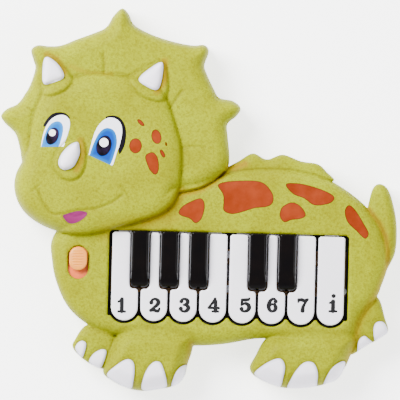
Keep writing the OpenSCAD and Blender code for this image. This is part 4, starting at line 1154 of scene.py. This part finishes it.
def finishFor(name, cache={}):
    if name not in cache:
        cache[name] = plainFinish(name)
    return cache[name]


print("making the finishes")
paintedLime = limeFinish("paintedLime", True)
plainLime = limeFinish("plainLime", False)

# Assembly: each piece with the body it rides on, the node it stands for and its finish
print("making the shells")


def place(piece, body, slotName, material, *replaced):
    piece.data.materials.clear()
    piece.data.materials.append(material)
    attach(piece, body)
    if replaced:
        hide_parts(*replaced)


place(buildFront(), "case", "shell_lime", paintedLime, "front_shell")
place(buildBack(), "case", "shell_lime", plainLime, "back_shell")
print("making the eyes")
place(buildEye("left"), "case", "shell_lime", eyeFinish("leftEye", ink(0, 92, 172), ink(40, 122, 190)))
place(buildEye("right"), "case", "shell_lime", eyeFinish("rightEye", ink(0, 60, 150), ink(0, 100, 168)))
print("making the keys")
for i in range(1, 9):
    place(buildWhite(i), f"white_{i}", "white_key", finishFor("white_key"), f"white_key_{i}")
    place(buildDigit(i), f"white_{i}", "white_key", finishFor("digit"))
for n in range(1, 6):
    place(buildBlack(n), f"black_{n}", "black_key", finishFor("black_key"), f"black_key_{n}")
place(buildKnob(), "power_slide", "knob_peach", finishFor("knob_peach"), "slider_knob")

print("making the rubber domes")
place(buildStrip(), "case", "dome_rubber", finishFor("dome_rubber"), "dome_strip")
middles = {"white": [whiteX(i) for i in range(1, 9)], "black": [jointX(j) for j in keys["blackAfter"]]}
for kind, places in middles.items():
    for n, x in enumerate(places, 1):
        piece = buildDome(f"{kind}Dome{n}", x)
        place(piece, "case", "dome_rubber", finishFor("dome_rubber"))
        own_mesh(piece)

print("finishing the inner parts")
for part in frame["record"]["subparts"]:
    mesh = frame["nodes"][part["node"]].data
    mesh.materials.clear()
    kind = part["material_slot"]
    mesh.materials.append(plainLime if kind == "shell_lime" else finishFor(kind))

# Floor, light and camera
studio = {"floor": 6.0, "zenith": 0.55, "horizon": 1.05, "key": 80.0, "keyFrom": (-0.8, 0.6, 1.1),
          "keySize": 0.8, "fill": 18.0, "fillFrom": (0.9, -0.5, 0.9), "fillSize": 1.2, "glow": 2.5,
          "sky": (0.3, 0.85)}
view = {"distance": 6.0, "width": 0.2215, "tilt": 0.0, "roll": 1.4, "aim": (0.9, 0.73, 26.0)}

half = studio["floor"] / 2
mesh = bpy.data.meshes.new("floor")
mesh.from_pydata([(-half, -half, 0), (half, -half, 0), (half, half, 0), (-half, half, 0)], [], [(0, 1, 2, 3)])
floor = bpy.data.objects.new("floor", mesh)
bpy.context.scene.collection.objects.link(floor)
material, tree, surface, coords = newFinish("floorPaper", 0.9, specular=0.1)
paper = blend(tree, noise(tree, coords, 12, 2), ink(250, 250, 250), ink(255, 255, 255))
tree.links.new(paper, surface.inputs["Base Color"])
surface.inputs["Emission Color"].default_value = (1, 1, 1, 1)
surface.inputs["Emission Strength"].default_value = studio["glow"]
mesh.materials.append(material)


def addLight(name, power, size, place):
    light = bpy.data.lights.new(name, "AREA")
    light.energy = power
    light.size = size
    lamp = bpy.data.objects.new(name, light)
    lamp.location = place
    lamp.rotation_euler = Vector(place).to_track_quat("Z", "Y").to_euler()
    bpy.context.scene.collection.objects.link(lamp)


addLight("keyLight", studio["key"], studio["keySize"], studio["keyFrom"])
addLight("fillLight", studio["fill"], studio["fillSize"], studio["fillFrom"])
world = bpy.data.worlds.new("room")
world.use_nodes = True
sky = world.node_tree
upward = addNode(sky, "ShaderNodeSeparateXYZ", {0: addNode(sky, "ShaderNodeTexCoord").outputs["Generated"]})
power = spread(sky, upward.outputs["Z"], *studio["sky"], studio["horizon"], studio["zenith"])
sky.nodes["Background"].inputs["Color"].default_value = (1, 1, 1, 1)
sky.links.new(power, sky.nodes["Background"].inputs["Strength"])
bpy.context.scene.world = world

lens = bpy.data.cameras.new("camera")
lens.sensor_width = 36
lens.lens = 36 * view["distance"] / view["width"]
camera = bpy.data.objects.new("camera", lens)
tilt, roll = math.radians(view["tilt"]), math.radians(view["roll"])
turn = Matrix.Rotation(tilt, 4, "X") @ Matrix.Rotation(roll, 4, "Z")
aim = Vector(view["aim"]) * mm
camera.matrix_world = Matrix.Translation(aim) @ turn @ Matrix.Translation((0, 0, view["distance"]))
bpy.context.scene.collection.objects.link(camera)
bpy.context.scene.camera = camera

print("finished")
